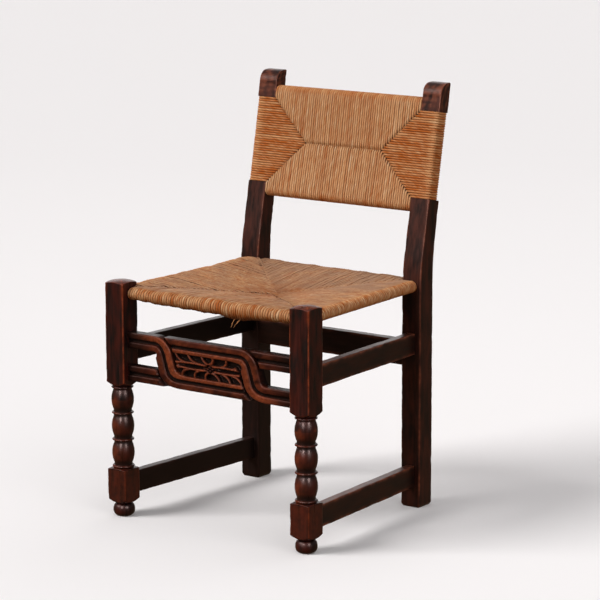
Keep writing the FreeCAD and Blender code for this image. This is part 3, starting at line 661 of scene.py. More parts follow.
@dataclass
class RearPost:
    """Rear post: upright to the seat, then raked, thinned under the back's rush, with a rounded head."""
    hand: Hand
    width: float = 44.0
    depth: float = 44.0
    head_depth: float = 31.0
    height: float = 838.0
    lean_run: float = 59.0
    front_bend: float = 470.0
    back_bend: float = 495.0
    bend_reach: float = 40.0
    head_round: float = 25.0
    wrap_start: float = 149.0
    wrap_length: float = 172.0
    core_inset: float = 8.0
    painted_shade: float = 0.0          # painted shade on the part below the seat
    shade_drop: tuple[float, float] = (30.0, 90.0)  # it begins and is full this far below the bend
    rubbed: float = 2.4         # width of the worn arris
    eased: float = 0.008        # share of the half width gone from every arris
    chipped: float = 0.034      # and more where it is chipped
    chip_waves: tuple[float, float] = (46.0, 11.0)
    uneven: float = 0.12        # wander of the skin
    foot_ease: float = 3.2      # rounding under the foot
    foot_rise: float = 8.0
    top_ease: float = 1.5       # and behind the head
    head_wear: float = 0.7
    sharpness: float = 34.0
    per_side: int = 16

    @classmethod
    def front_face(cls) -> float:
        """Place of the posts' front faces below the bend, from front to back."""
        return corner("rear_post_right")[1][1] - cls.lean_run - cls.depth

    @property
    def rake(self) -> float:
        """Lean of the front face, in radians."""
        return math.atan2(self.lean_run + self.depth - self.head_depth, self.height - self.front_bend)

    @staticmethod
    def bent(z: Array, bend: float, reach: float, slope: float) -> Array:
        """How far a face lies behind its foot: level, a parabola round the bend, then a straight lean."""
        t = np.clip(z - bend + reach, 0, 2 * reach)
        return slope * (t * t / (4 * reach) + np.maximum(z - bend - reach, 0))

    def levels(self) -> tuple[Array, Array]:
        """Heights of the sections at the front face, and which of them lie on the wrapped core.

        Returns:
            Heights in millimetres, and flags of the same length.
        """
        rise = math.cos(self.rake)
        low = self.front_bend + self.wrap_start * rise
        high = low + self.wrap_length * rise
        turn = self.height - self.head_round
        foot = [0.0, 0.6, 1.6, 3.2, 5.5, self.foot_rise]
        below = np.concatenate([foot, np.linspace(12, 400, 40), np.linspace(408, low, 30)])
        core = np.linspace(low, high, 5)
        above = np.concatenate([np.linspace(high, turn, 8),
                                turn + self.head_round * np.sin(np.linspace(0.06, 1, 18) * math.pi / 2)])
        heights = np.concatenate([below, core, above])
        on_core = np.concatenate([np.zeros(len(below)), np.ones(len(core)), np.zeros(len(above))])
        return heights, on_core

    def build(self, finish: bpy.types.Material, node: str) -> bpy.types.Object:
        """Makes the post from sections between its front and back faces, which turn square to the lean.

        Args:
            finish: Wood.
            node: CAD node that the post stands for.

        Returns:
            The post.
        """
        low, high = corner(node)
        y_front = self.front_face()
        z, core = self.levels()
        slope = math.tan(self.rake)
        turn = self.height - self.head_round
        over = np.clip((z - turn) / self.head_round, 0, 1)
        front = y_front + self.bent(np.minimum(z, turn), self.front_bend, self.bend_reach, slope)
        front = front + self.head_round * (1 - np.sqrt(1 - over ** 2))
        tilt = self.rake * step(z, self.front_bend - 60, self.front_bend + 90)
        tilt = tilt * (1 - step(z, turn - 25, turn + 2))
        back_slope = self.lean_run / (self.height - self.back_bend)
        reach = np.full_like(z, self.depth)
        for _ in range(8):
            behind = self.bent(z - reach * np.sin(tilt), self.back_bend, self.bend_reach, back_slope)
            reach = (y_front + self.depth + behind - front) / np.cos(tilt)
        outline, inset = unit_square(self.per_side, self.sharpness)
        half_x = np.where(core > 0, self.width / 2 - self.core_inset, self.width / 2)
        half_n = np.where(core > 0, reach / 2 - self.core_inset, reach / 2)
        ease = self.foot_ease * step(z, self.foot_rise, -0.5) ** 2 + self.top_ease * step(over, 0.93, 1.0)
        half_x, half_n = half_x - ease, half_n - ease * 0.6
        seed = 31 + self.hand.value
        spot = skin_places(z[:, None], outline, self.width / 2)
        arris = np.exp(-(inset * self.width / 2 / self.rubbed) ** 2)[None]
        pull = 1 - arris * (self.eased + self.chipped * chips(spot, self.chip_waves, seed))
        x = half_x[:, None] * outline[:, 0] * pull + self.uneven * drift(spot, 60, seed + 2)
        n = half_n[:, None] * outline[:, 1] * pull + reach[:, None] / 2
        centre_x = (low[0] + high[0]) / 2
        rings = np.stack([centre_x + x, front[:, None] + n * np.cos(tilt)[:, None],
                          z[:, None] - n * np.sin(tilt)[:, None]], -1)
        at_head = step(z, turn - 40, turn - 10)[:, None]
        # Worn arrises, more on the head, where the wear also stands for a painted highlight.
        rub = arris * (0.5 + 0.6 * drift(spot, 80, seed + 3) + 0.5 * at_head) * (1 - core[:, None])
        head = at_head * np.clip(0.35 + 1.2 * drift(spot, 13, seed + 4), 0, 1) * self.head_wear
        # Painted shade below the seat, where it also takes away the wear.
        start, full = (self.front_bend - drop for drop in self.shade_drop)
        painted_darkening = np.broadcast_to(self.painted_shade * step(z, start, full)[:, None], x.shape)
        fields = {"wear": with_poles(np.clip(rub + head, 0, 1) * (1 - painted_darkening)), "hollow": with_poles(painted_darkening)}
        return make_piece(node, [lofted(rings)], fields, finish, [node])


@dataclass
class Stretcher:
    """Plain bar with tenons: its ends are tied to the faces that it meets."""
    node: str
    start: tuple[float, float]  # plan of the shoulder at the front or left
    end: tuple[float, float]
    bottom: float
    height: float
    thickness: float
    tenon: float = 26.0
    tenon_thickness: float = 9.0
    tenon_shoulder: float = 7.0
    painted_shade: float = 0.0          # painted shade all over
    face_half: float = 12.0     # half a face, for the width of the worn arrises
    rubbed: float = 2.2
    eased: float = 0.01         # share of the half width gone from every arris
    chipped: float = 0.05       # and more where it is chipped
    uneven: float = 0.15        # wander of the skin
    skin_radius: float = 20.0
    top_wear: float = 0.5
    sharpness: float = 22.0
    per_side: int = 14

    def build(self, finish: bpy.types.Material) -> bpy.types.Object:
        """Carries a soft-cornered rectangle along the bar, smaller on the two tenons.

        Args:
            finish: Wood.

        Returns:
            The bar.
        """
        start, end = np.array(self.start), np.array(self.end)
        run = (end - start) / np.linalg.norm(end - start)
        length = float(np.linalg.norm(end - start))
        body = np.linspace(0, length, 60)
        along = np.concatenate([[-self.tenon, 0.0], body, [length, length + self.tenon]])
        thin = np.zeros(len(along))
        thin[[0, 1, -2, -1]] = 1
        half_t = np.where(thin > 0, self.tenon_thickness, self.thickness) / 2
        half_h = self.height / 2 - self.tenon_shoulder * thin
        outline, inset = unit_square(self.per_side, self.sharpness)
        seed = len(self.node) + int(self.bottom)
        spot = skin_places(along[:, None], outline, self.skin_radius)
        arris = np.exp(-(inset * self.face_half / self.rubbed) ** 2)[None]
        pull = 1 - arris * (self.eased + self.chipped * np.clip(drift(spot, 50, seed), 0, 1))
        across = half_t[:, None] * outline[:, 0] * pull
        up = half_h[:, None] * outline[:, 1] * pull + self.uneven * drift(spot, 90, seed + 1)
        side_way = np.array([run[1], -run[0]])
        flat = start[None, None] + run * along[:, None, None] + side_way * across[..., None]
        rings = np.concatenate([flat, (self.bottom + self.height / 2 + up)[..., None]], -1)
        top = self.top_wear * step(outline[:, 1], 0.9, 1.0)
        rub = arris * (0.45 + 0.6 * drift(spot, 70, seed + 2)) + top
        rub = np.clip(rub * (1 - thin[:, None]), 0, 1)
        # Painted shade all over, for the bars that stand in the seat's shade.
        fields = {"wear": with_poles(rub), "hollow": with_poles(np.full_like(rub, self.painted_shade))}
        return make_piece(self.node, [lofted(rings)], fields, finish, [self.node])


@dataclass
class CarvedRail:
    """Pierced front rail: two crossing bands of double reeds, two short straps and a panel of leaves."""
    node: str = "carved_front_rail"
    reach: float = 200.5        # half the length between the legs
    bottom: float = 275.0
    height: float = 96.5
    thickness: float = 20.0
    strap: float = 31.0
    groove: float = 5.5
    groove_half: float = 3.3
    shoulder: float = 1.7       # fall of a reed from its crest to its edges
    widening: float = 0.30      # a bend's extra width over a strap's, on its left
    slimming: float = 0.36      # share of the inner reed that the panel's carving takes
    bend_middle: float = 103.5
    bend_radius: float = 28.0
    fall: float = 73.0          # degrees
    band_tuck: float = 8.0      # a band's end past the middle of the other's bend
    strap_tuck: float = 22.0    # a strap's end past the middle of a bend
    bend_points: tuple[int, int] = (20, 70)  # points of a band's line on its bend,
    widens: tuple[int, int] = (27, 46)       # those over which it widens,
    narrows: tuple[int, int] = (58, 77)      # narrows again,
    slims: tuple[int, int] = (72, 86)        # and gives up part of its inner reed
    sink: float = 8.0           # fall of a strap where a bend passes over
    least_back: float = 3.0     # wood left behind the deepest cut
    uneven: float = 0.22        # wander of the reeds' fronts
    panel_top: float = 2.4      # carved ground behind the crests
    panel_sink: float = 6.4     # hollows behind the ground
    panel_under: float = 9.0    # how far the panel runs under the bands, up and down,
    panel_tuck: float = 6.0     # and past the middles of the bends
    panel_uneven: float = 0.25
    rib_pitch: float = 29.0     # between the ribs of a leaf
    rib_curl: float = 29.0      # how far a rib runs out along the stem before it stands up
    rib_bow: float = 4.6        # rise in which most of the curl is done
    rib_back: float = 13.0      # where the first rib leaves the stem, before the flower's middle
    rib_half: float = 1.7
    rib_swell: float = 1.5
    stem_rise: float = 4.4      # a stem's crest from the panel's middle
    stem_bow: float = 1.5
    stem_swell: float = 1.6
    border: tuple[float, float] = (19.4, 21.6)  # rise at which the leaves end in the border
    petals: int = 4
    petal_reach: float = 5.2
    petal_swing: float = 1.4
    flower_squash: float = 0.6  # flower's height over its width
    passing_gap: float = 7.0    # sunk strip beside a bend
    worn_depth: float = 1.8     # wear reaches this far behind the crests
    shade_depth: tuple[float, float] = (2.4, 5.2)  # painted shade begins and is full this deep
    end_shade: float = 0.8       # painted shade beside the legs
    strap_glow: float = 0.18    # wear of the straps,
    inner_glow: float = 0.45    # more on the bands' inner reeds,
    panel_glow: float = 0.88    # and most on the panel
    panel_mottle: float = 0.3

    @property
    def front(self) -> float:
        """Plane of the reeds' crests, from front to back."""
        return corner(self.node)[0][1]

    @property
    def middle(self) -> float:
        """Height of the rail's centre line."""
        return self.bottom + self.height / 2

    def path(self, start: float, end: float) -> Array:
        """Centre line of the band that falls on the left: level, bend, fall, bend, level.

        Args:
            start: Left end.
            end: Right end.

        Returns:
            Points (n, 2) in the rail's front view.
        """
        fall = math.radians(self.fall)
        drop = self.height - self.strap
        straight = (drop - 2 * self.bend_radius * (1 - math.cos(fall))) / math.sin(fall)
        half = self.bend_radius * math.sin(fall) + straight * math.cos(fall) / 2
        a = np.linspace(0, fall, 22)
        arc = np.stack([np.sin(a), np.cos(a) - 1], -1) * self.bend_radius
        upper = np.array([-self.bend_middle - half, self.middle + drop / 2]) + arc
        lower = 2 * np.array([-self.bend_middle, self.middle]) - upper[::-1]
        t = np.linspace(0, 1, 12)[1:-1, None]
        fallen = upper[-1] * (1 - t) + lower[0] * t
        first = np.stack([np.linspace(start, upper[0, 0], 26)[:-1], np.full(25, upper[0, 1])], -1)
        last = np.stack([np.linspace(lower[-1, 0], end, 70)[1:], np.full(69, lower[-1, 1])], -1)
        return np.concatenate([first, upper, fallen, lower, last])

    def section(self) -> tuple[Array, Array]:
        """Front of a strap: two flat-crested reeds with a deep groove between them.

        Returns:
            Distance across the strap and depth behind the crests, in millimetres.
        """
        half = self.strap / 2
        across = np.linspace(-half, half, 49)
        crest = (half + self.groove_half) / 2
        reed = np.abs(np.abs(across) - crest) / (half - crest)
        depth = self.shoulder * np.minimum(reed, 1) ** 4
        floor = step(np.abs(across), self.groove_half + 0.4, self.groove_half - 0.9)
        return across, depth + (self.groove - self.shoulder) * floor

    def laid(self, line: Array, wide: Array, slim: Array) -> Array:
        """Front view of the section's points, set square to a line.

        Args:
            line: Centre line (n, 2).
            wide: Extra width of each section, as a share; it falls on the rail's left.
            slim: Narrowing of each section's inner reed, as a share.

        Returns:
            Places (n, section points, 2).
        """
        across, _ = self.section()
        tangent = np.gradient(line, axis=0)
        tangent /= np.linalg.norm(tangent, axis=1)[:, None]
        normal = np.stack([-tangent[:, 1], tangent[:, 0]], -1)
        kept = np.where(normal[:, 0] > 0, self.strap / 2, -self.strap / 2)
        offset = across[None] + wide[:, None] * (across[None] - kept[:, None])
        offset = offset - slim[:, None] * np.maximum(across[None] - self.groove_half, 0)
        return line[:, None] + normal[:, None] * offset[..., None]

    def swept(self, flat: Array, sink: Array) -> tuple[Array, Array]:
        """Gives the laid-out section its depth, sinking where another band passes over.

        Args:
            flat: Places from CarvedRail.laid.
            sink: Depth added at each place.

        Returns:
            Rings, and the depth behind the crests at each point.
        """
        _, depth = self.section()
        deep = depth[None] + sink + self.uneven * drift(flat, 24, 5)
        deep = np.minimum(deep, self.thickness - self.least_back)
        flat = np.concatenate([flat, flat[:, [-1, 0]]], 1)
        deep = np.concatenate([deep, np.full((len(flat), 2), self.thickness)], 1)
        return np.stack([flat[..., 0], self.front + deep, flat[..., 1]], -1), deep

    def beside(self, flat: Array, bend: Array, wide: float) -> Array:
        """Nearness to a bend that passes over: 1 up to its edge, falling to 0 a little away.

        Args:
            flat: Places in the front view.
            bend: The bend's centre line.
            wide: The bend's extra width on that side, as a share.

        Returns:
            Nearness at each place.
        """
        gap = np.linalg.norm(flat[..., None, :] - bend, axis=-1).min(-1) - self.strap * (0.5 + wide)
        return 1 - step(gap, self.passing_gap * 0.4, self.passing_gap)

    def turned(self, line: Array) -> Array:
        """The same line after half a turn about the rail's middle."""
        return np.stack([-line[:, 0], 2 * self.middle - line[:, 1]], -1)

    def relief(self, x: Array, z: Array) -> Array:
        """Carved depth of the panel: hollows between ribs that run out along two stems and curl away.

        A rib's place along the stem is an exponential approach to its curl with the distance from the
        panel's middle, and the hollows are what lies between ribs, stems and border, each edge a smooth step.
        The flower is a ring that swings in and out with the angle.

        Args:
            x: Places along the panel.
            z: Places up the panel from its middle.

        Returns:
            Depth behind the straps' crests.
        """
        side, rise = np.abs(x), np.abs(z)
        fade = np.exp(-np.maximum(rise - self.stem_rise, 0) / self.rib_bow)
        curl = self.rib_curl * (1 - fade) - self.rib_back
        wobble = 2.5 * np.sin(x / 19 + 2 * np.sign(z))
        place = (side - curl + wobble) / self.rib_pitch
        from_rib = np.abs(place - np.round(place)) * self.rib_pitch
        from_rib = from_rib / np.hypot(1, fade * self.rib_curl / self.rib_bow)
        stem = self.stem_rise + self.stem_bow * np.sin(side / 24) + np.sign(z) * 0.6
        cut = step(from_rib - self.rib_half, 0.0, 2.4) * step(rise - stem, 1.2, 3.6)
        cut = cut * (1 - step(rise, *self.border)) * np.maximum(step(side, 4, 9), step(rise, 8, 11))
        between = step(stem - 1.9 - rise, 0.0, 1.6) * step(side, 9, 20) * (1 - step(side, 66, 78))
        cut = np.maximum(cut, between)
        bloom = np.hypot(x * self.flower_squash, z)
        angle = np.arctan2(z, x * self.flower_squash)
        petal = self.petal_reach + self.petal_swing * np.cos(self.petals * angle)
        cut = np.where(bloom < petal + 2, 0.7 * np.exp(-((bloom - petal) / 1.2) ** 2), cut)
        cut = np.maximum(cut, 0.7 * np.exp(-((bloom - 1.0) / 1.1) ** 2))
        swell = self.stem_swell * np.exp(-((rise - stem) / 2.0) ** 2) * step(side, 6, 14)
        along_rib = self.rib_swell * np.exp(-(from_rib / 1.8) ** 2) * step(rise - stem, 0.0, 3.0)
        swell = np.maximum(swell, along_rib)
        return self.panel_top + self.panel_sink * cut - swell * (1 - cut)

    def panel(self, bend: Array) -> tuple[Array, Array]:
        """Carved panel between the bands, as a slab whose front is the relief.

        Args:
            bend: Centre line of the left bend.

        Returns:
            Rings, and the depth behind the straps' crests.
        """
        half = self.height / 2 - self.strap + self.panel_under
        end = self.bend_middle + self.panel_tuck
        x = np.linspace(-end, end, 330)[:, None]
        z = np.linspace(-half, half, 80)[None]
        x, z = np.broadcast_arrays(x, z)
        lean = x + z / math.tan(math.radians(self.fall))
        deep = self.relief(lean, z) + self.panel_uneven * drift(np.stack([x, z], -1), 9, 8)
        flat = np.stack([x, self.middle + z], -1)
        near_right = self.beside(flat, self.turned(bend), self.widening)
        near = np.maximum(self.beside(flat, bend, 0.0), near_right)
        deep = deep + (self.panel_top + self.panel_sink - deep) * near
        back = np.full((len(x), 2), self.thickness)
        deep = np.concatenate([deep, back], 1)
        flat_x = np.concatenate([x, x[:, [-1, 0]]], 1)
        flat_z = np.concatenate([z, z[:, [-1, 0]]], 1)
        return np.stack([flat_x, self.front + deep, self.middle + flat_z], -1), deep

    def build(self, finish: bpy.types.Material) -> bpy.types.Object:
        """Makes the rail from its bands, straps and panel.

        Args:
            finish: Wood.

        Returns:
            The rail.
        """
        band = self.path(-self.reach, self.bend_middle + self.band_tuck)
        bend = band[slice(*self.bend_points)]
        under = np.linspace(-self.reach, self.strap_tuck - self.bend_middle, 46)
        strap = np.stack([under, np.full_like(under, band[-1, 1])], -1)
        count = np.arange(len(band))
        wide = self.widening * step(count, *self.widens) * (1 - step(count, *self.narrows))
        plain = np.zeros(len(strap))
        inner = np.concatenate([step(self.section()[0], -2, 2), [0, 0]])
        bands = ((band, self.turned(bend), self.widening, wide, self.inner_glow),
                 (self.turned(band), bend, 0.0, wide, self.inner_glow),
                 (strap, bend, self.widening, plain, 0.0),
                 (self.turned(strap), self.turned(bend), 0.0, plain, 0.0))
        parts, glow = [], []
        for line, over, side, extra, shine in bands:
            slim = self.slimming * step(np.arange(len(line)), *self.slims)
            flat = self.laid(line, extra, slim)
            rings, deep = self.swept(flat, self.sink * self.beside(flat, over, side))
            parts.append((rings, deep))
            glow.append(with_poles(np.broadcast_to(self.strap_glow + shine * inner, deep.shape)))
        rings, deep = self.panel(bend)
        parts.append((rings, deep))
        glow.append(with_poles(self.panel_glow + self.panel_mottle * drift(rings[..., [0, 2]], 15, 21)))
        skins = [lofted(rings) for rings, _ in parts]
        depth = np.concatenate([with_poles(deep) for _, deep in parts])
        places = np.concatenate([skin[0] for skin in skins])[:, [0, 2]]
        glow = np.clip(np.concatenate(glow) + 0.2 * drift(places, 50, 14), 0, 1)
        rub = np.exp(-(depth / self.worn_depth) ** 2) * glow
        # Painted shade in the carving's depths and beside the legs, where it also takes away the wear.
        painted_shade = self.end_shade * step(np.abs(places[:, 0]), self.bend_middle + 20, self.reach - 2)
        hollow = np.clip(step(depth, *self.shade_depth) + painted_shade, 0, 1)
        fields = {"wear": rub * (1 - painted_shade), "hollow": hollow}
        return make_piece(self.node, skins, fields, finish, [self.node])


def strand_places(run: Array, spread: float) -> Array:
    """Places along strands for drift to read, with the strands so far apart that each wanders by itself."""
    strand = np.arange(len(run))[:, None] * spread
    return np.stack([run, np.broadcast_to(strand, run.shape)], -1)


@dataclass
class Winding:
    """Strands wound side by side over a rail: in from the mitre, round the rail and back behind."""
    base: Array                 # each strand's place on the rail's centre line (n, 3)
    inward: Array               # way from the rail to the middle
    face: Array                 # way that the seen face looks
    reach: Array                # each strand's length from the rail's line to the mitre
    span: float                 # length at which the dish is full
    pitch: Array | float        # strands' width, one for all or one each (n, 1)
    out: float                  # rail's centre line to the weave's outer edge
    half: float                 # half the weave's depth at the rail
    dish: float                 # fall of the seen face towards the middle
    belly: float                # swell of the other face, outwards when positive
    square: float = 2.0         # power of the turn round the rail; 2 is an ellipse
    tight: float = 0.55         # strand's radius over the pitch
    dive: float = 2.6           # how far an end tucks in at the mitre
    taper: float = 0.2          # how much thinner an end is
    fray: float = 14.0          # length over which the ends stand apart
    face_gap: float = 0.85      # painted shade of the valleys between strands on the faces
    roll_gap: float = 0.95      # and on the turn round the rail
    end_gap: float = 0.68       # and between the ends
    tuck_length: float = 6.0    # length over which an end tucks in
    lift: float = 0.0           # hump of an end where it laps its neighbour
    lift_back: float = 4.5      # the hump's place before the end
    lift_width: float = 3.5
    uneven: float = 0.02        # strands' wander from their places, over the pitch
    wander: float = 0.3         # rise and fall of a strand along its run
    proud: float = 0.22         # spread of the strands' heights
    girth: float = 0.03         # spread of the strands' radii
    lumps: float = 0.04         # and of a strand's radius along its run
    pressed: float = 0.0        # how far use has flattened the strands of the seen face
    seed: int = 1
    sides: int = 8

    def strands(self) -> dict[str, Array]:
        """Works out every strand's centre line and thickness.

        A strand runs in from the mitre along the dished face, turns round the rail on a superellipse and
        runs back under; at both ends it tucks in by a smooth step.

        Returns:
            Centre lines (n, m, 3) and, each (n, m), radii, run along the strand, tuck at its ends, flatness,
            painted shade of the valleys, how far the ends stand apart, and whether the point is on the seen
            face (1), the turn (0) or the other face (-1).
        """
        count = len(self.base)
        rng = np.random.default_rng(self.seed)
        radius = self.pitch * self.tight * (1 + self.girth * rng.normal(size=(count, 1)))
        reach = self.reach[:, None]
        from_end = np.array([0.0, 1.5, 3.0, 4.5, 6.0, 8.0])
        share = np.linspace(0, 1, 16)[1:]
        near = np.minimum(from_end[None], 0.7 * reach)
        top = np.concatenate([reach - near, (reach - near[:, -1:]) * (1 - share)], 1)
        turn = np.linspace(0, math.pi, 14)[1:-1]
        power = 2 / self.square
        round_in = -(self.out - radius) * np.sin(turn) ** power
        round_up = (self.half - radius) * np.sign(np.cos(turn)) * np.abs(np.cos(turn)) ** power
        under = top[:, ::-2]
        into = np.concatenate([top, round_in, under], 1)
        level = np.concatenate([np.broadcast_to(self.half - radius, top.shape), round_up,
                                np.broadcast_to(radius - self.half, under.shape)], 1)
        seen = np.concatenate([np.ones(top.shape[1]), np.zeros(len(turn)), -np.ones(under.shape[1])])
        way_in = np.clip(into / self.span, 0, 1)
        fall = way_in ** 2 * (3 - 2 * way_in) * 0.55 + way_in ** 1.5 * 0.45
        level = level - np.where(seen > 0, self.dish, 0) * fall - np.where(seen < 0, self.belly, 0) * fall
        tuck = step(into - reach, -self.tuck_length, 0.0)
        level = level - seen * tuck * self.dive
        level = level + seen * self.lift * np.exp(-((reach - into - self.lift_back) / self.lift_width) ** 2)
        lines = self.base[:, None] + self.inward * into[..., None] + self.face * level[..., None]
        rise = drift(lines, 30, self.seed + 5) * self.wander + rng.normal(size=(count, 1)) * self.proud
        lines = lines + self.face * (rise * (1 - tuck) * np.where(seen == 0, 0.3, 1.0))[..., None]
        sway = rng.normal(size=(count, 1)) + drift(strand_places(into, 61.0), 45, self.seed + 9)
        sway = self.uneven * self.pitch * sway
        lines = lines + np.cross(self.inward, self.face) * sway[..., None]
        steps = np.linalg.norm(np.diff(lines, axis=1), axis=2)
        run = np.concatenate([np.zeros((count, 1)), np.cumsum(steps, axis=1)], 1)
        run = run + rng.uniform(0, 900, size=(count, 1))
        lumps = np.stack([run, np.broadcast_to(self.base[:, :1] * 7, run.shape)], -1)
        thick = radius * (1 + self.lumps * drift(lumps, 18, 3))
        apart = step(into - reach, -self.fray, -2.0)
        thick = thick * (1 - self.taper * apart)
        valley = np.maximum(np.where(seen == 0, self.roll_gap, self.face_gap), self.end_gap * apart)
        pressed = 1 - self.pressed * step(into, 0.0, 30.0) * (seen > 0)
        return {"lines": lines, "radius": thick, "run": run, "tuck": tuck, "pressed": pressed,
                "valley": valley, "apart": apart, "seen": np.broadcast_to(seen, run.shape)}

    def tubes(self, made: dict[str, Array]) -> tuple[Array, Array]:
        """Round skins about the strands, which each lie in a plane square to the rail.

        Args:
            made: Strands from Winding.strands.

        Returns:
            Rings (n, m, sides, 3), and the lay (n, m, sides, 3) of run and place across, in metres.
        """
        lines, radius = made["lines"], made["radius"][..., None]
        side_way = np.cross(-self.inward, self.face)
        tangent = np.gradient(lines, axis=1)
        tangent /= np.linalg.norm(tangent, axis=-1, keepdims=True)
        outward = np.cross(side_way, tangent)
        outward /= np.linalg.norm(outward, axis=-1, keepdims=True)
        angle = np.linspace(0, 2 * math.pi, self.sides, endpoint=False)
        across, up = np.cos(angle) * radius, np.sin(angle) * radius * made["pressed"][..., None]
        rings = lines[:, :, None] + side_way * across[..., None] + outward[:, :, None] * up[..., None]
        run = np.broadcast_to(made["run"][..., None], across.shape)
        return rings, np.stack([run, across, up], -1) * MM


def strand_fields(made: dict[str, Array], lay: Array, tone: Array, age: Array,
                  painted_shading: Array) -> dict[str, Array]:
    """Values that the rush finish reads at every vertex.

    Args:
        made: Strands from Winding.strands.
        lay: Run and place across.
        tone: Lightness of each strand's points (n, m).
        age: Fading of each strand's points (n, m).
        painted_shading: Painted shade of each strand's points (n, m).

    Returns:
        Fields with a value for each vertex, fan centres included.
    """
    angle = np.linspace(0, 2 * math.pi, lay.shape[2], endpoint=False)
    # Painted shade on each strand's flanks and underside in the valleys, and at its tucked ends.
    flank = step(np.abs(np.cos(angle)), 0.45, 1.0) + (np.sin(angle) < -0.3)
    painted_shade = np.maximum(made["tuck"][..., None] * 0.3, made["valley"][..., None] * np.clip(flank, 0, 1))
    painted_shade = np.maximum(painted_shade, painted_shading[..., None])
    spread = {"tone": tone[..., None], "age": age[..., None], "depth": painted_shade}
    fields = {k: with_poles(np.broadcast_to(v, lay.shape[:3])) for k, v in spread.items()}
    fields["lay"] = np.stack([with_poles(lay[..., k]) for k in range(3)], -1)
    return fields


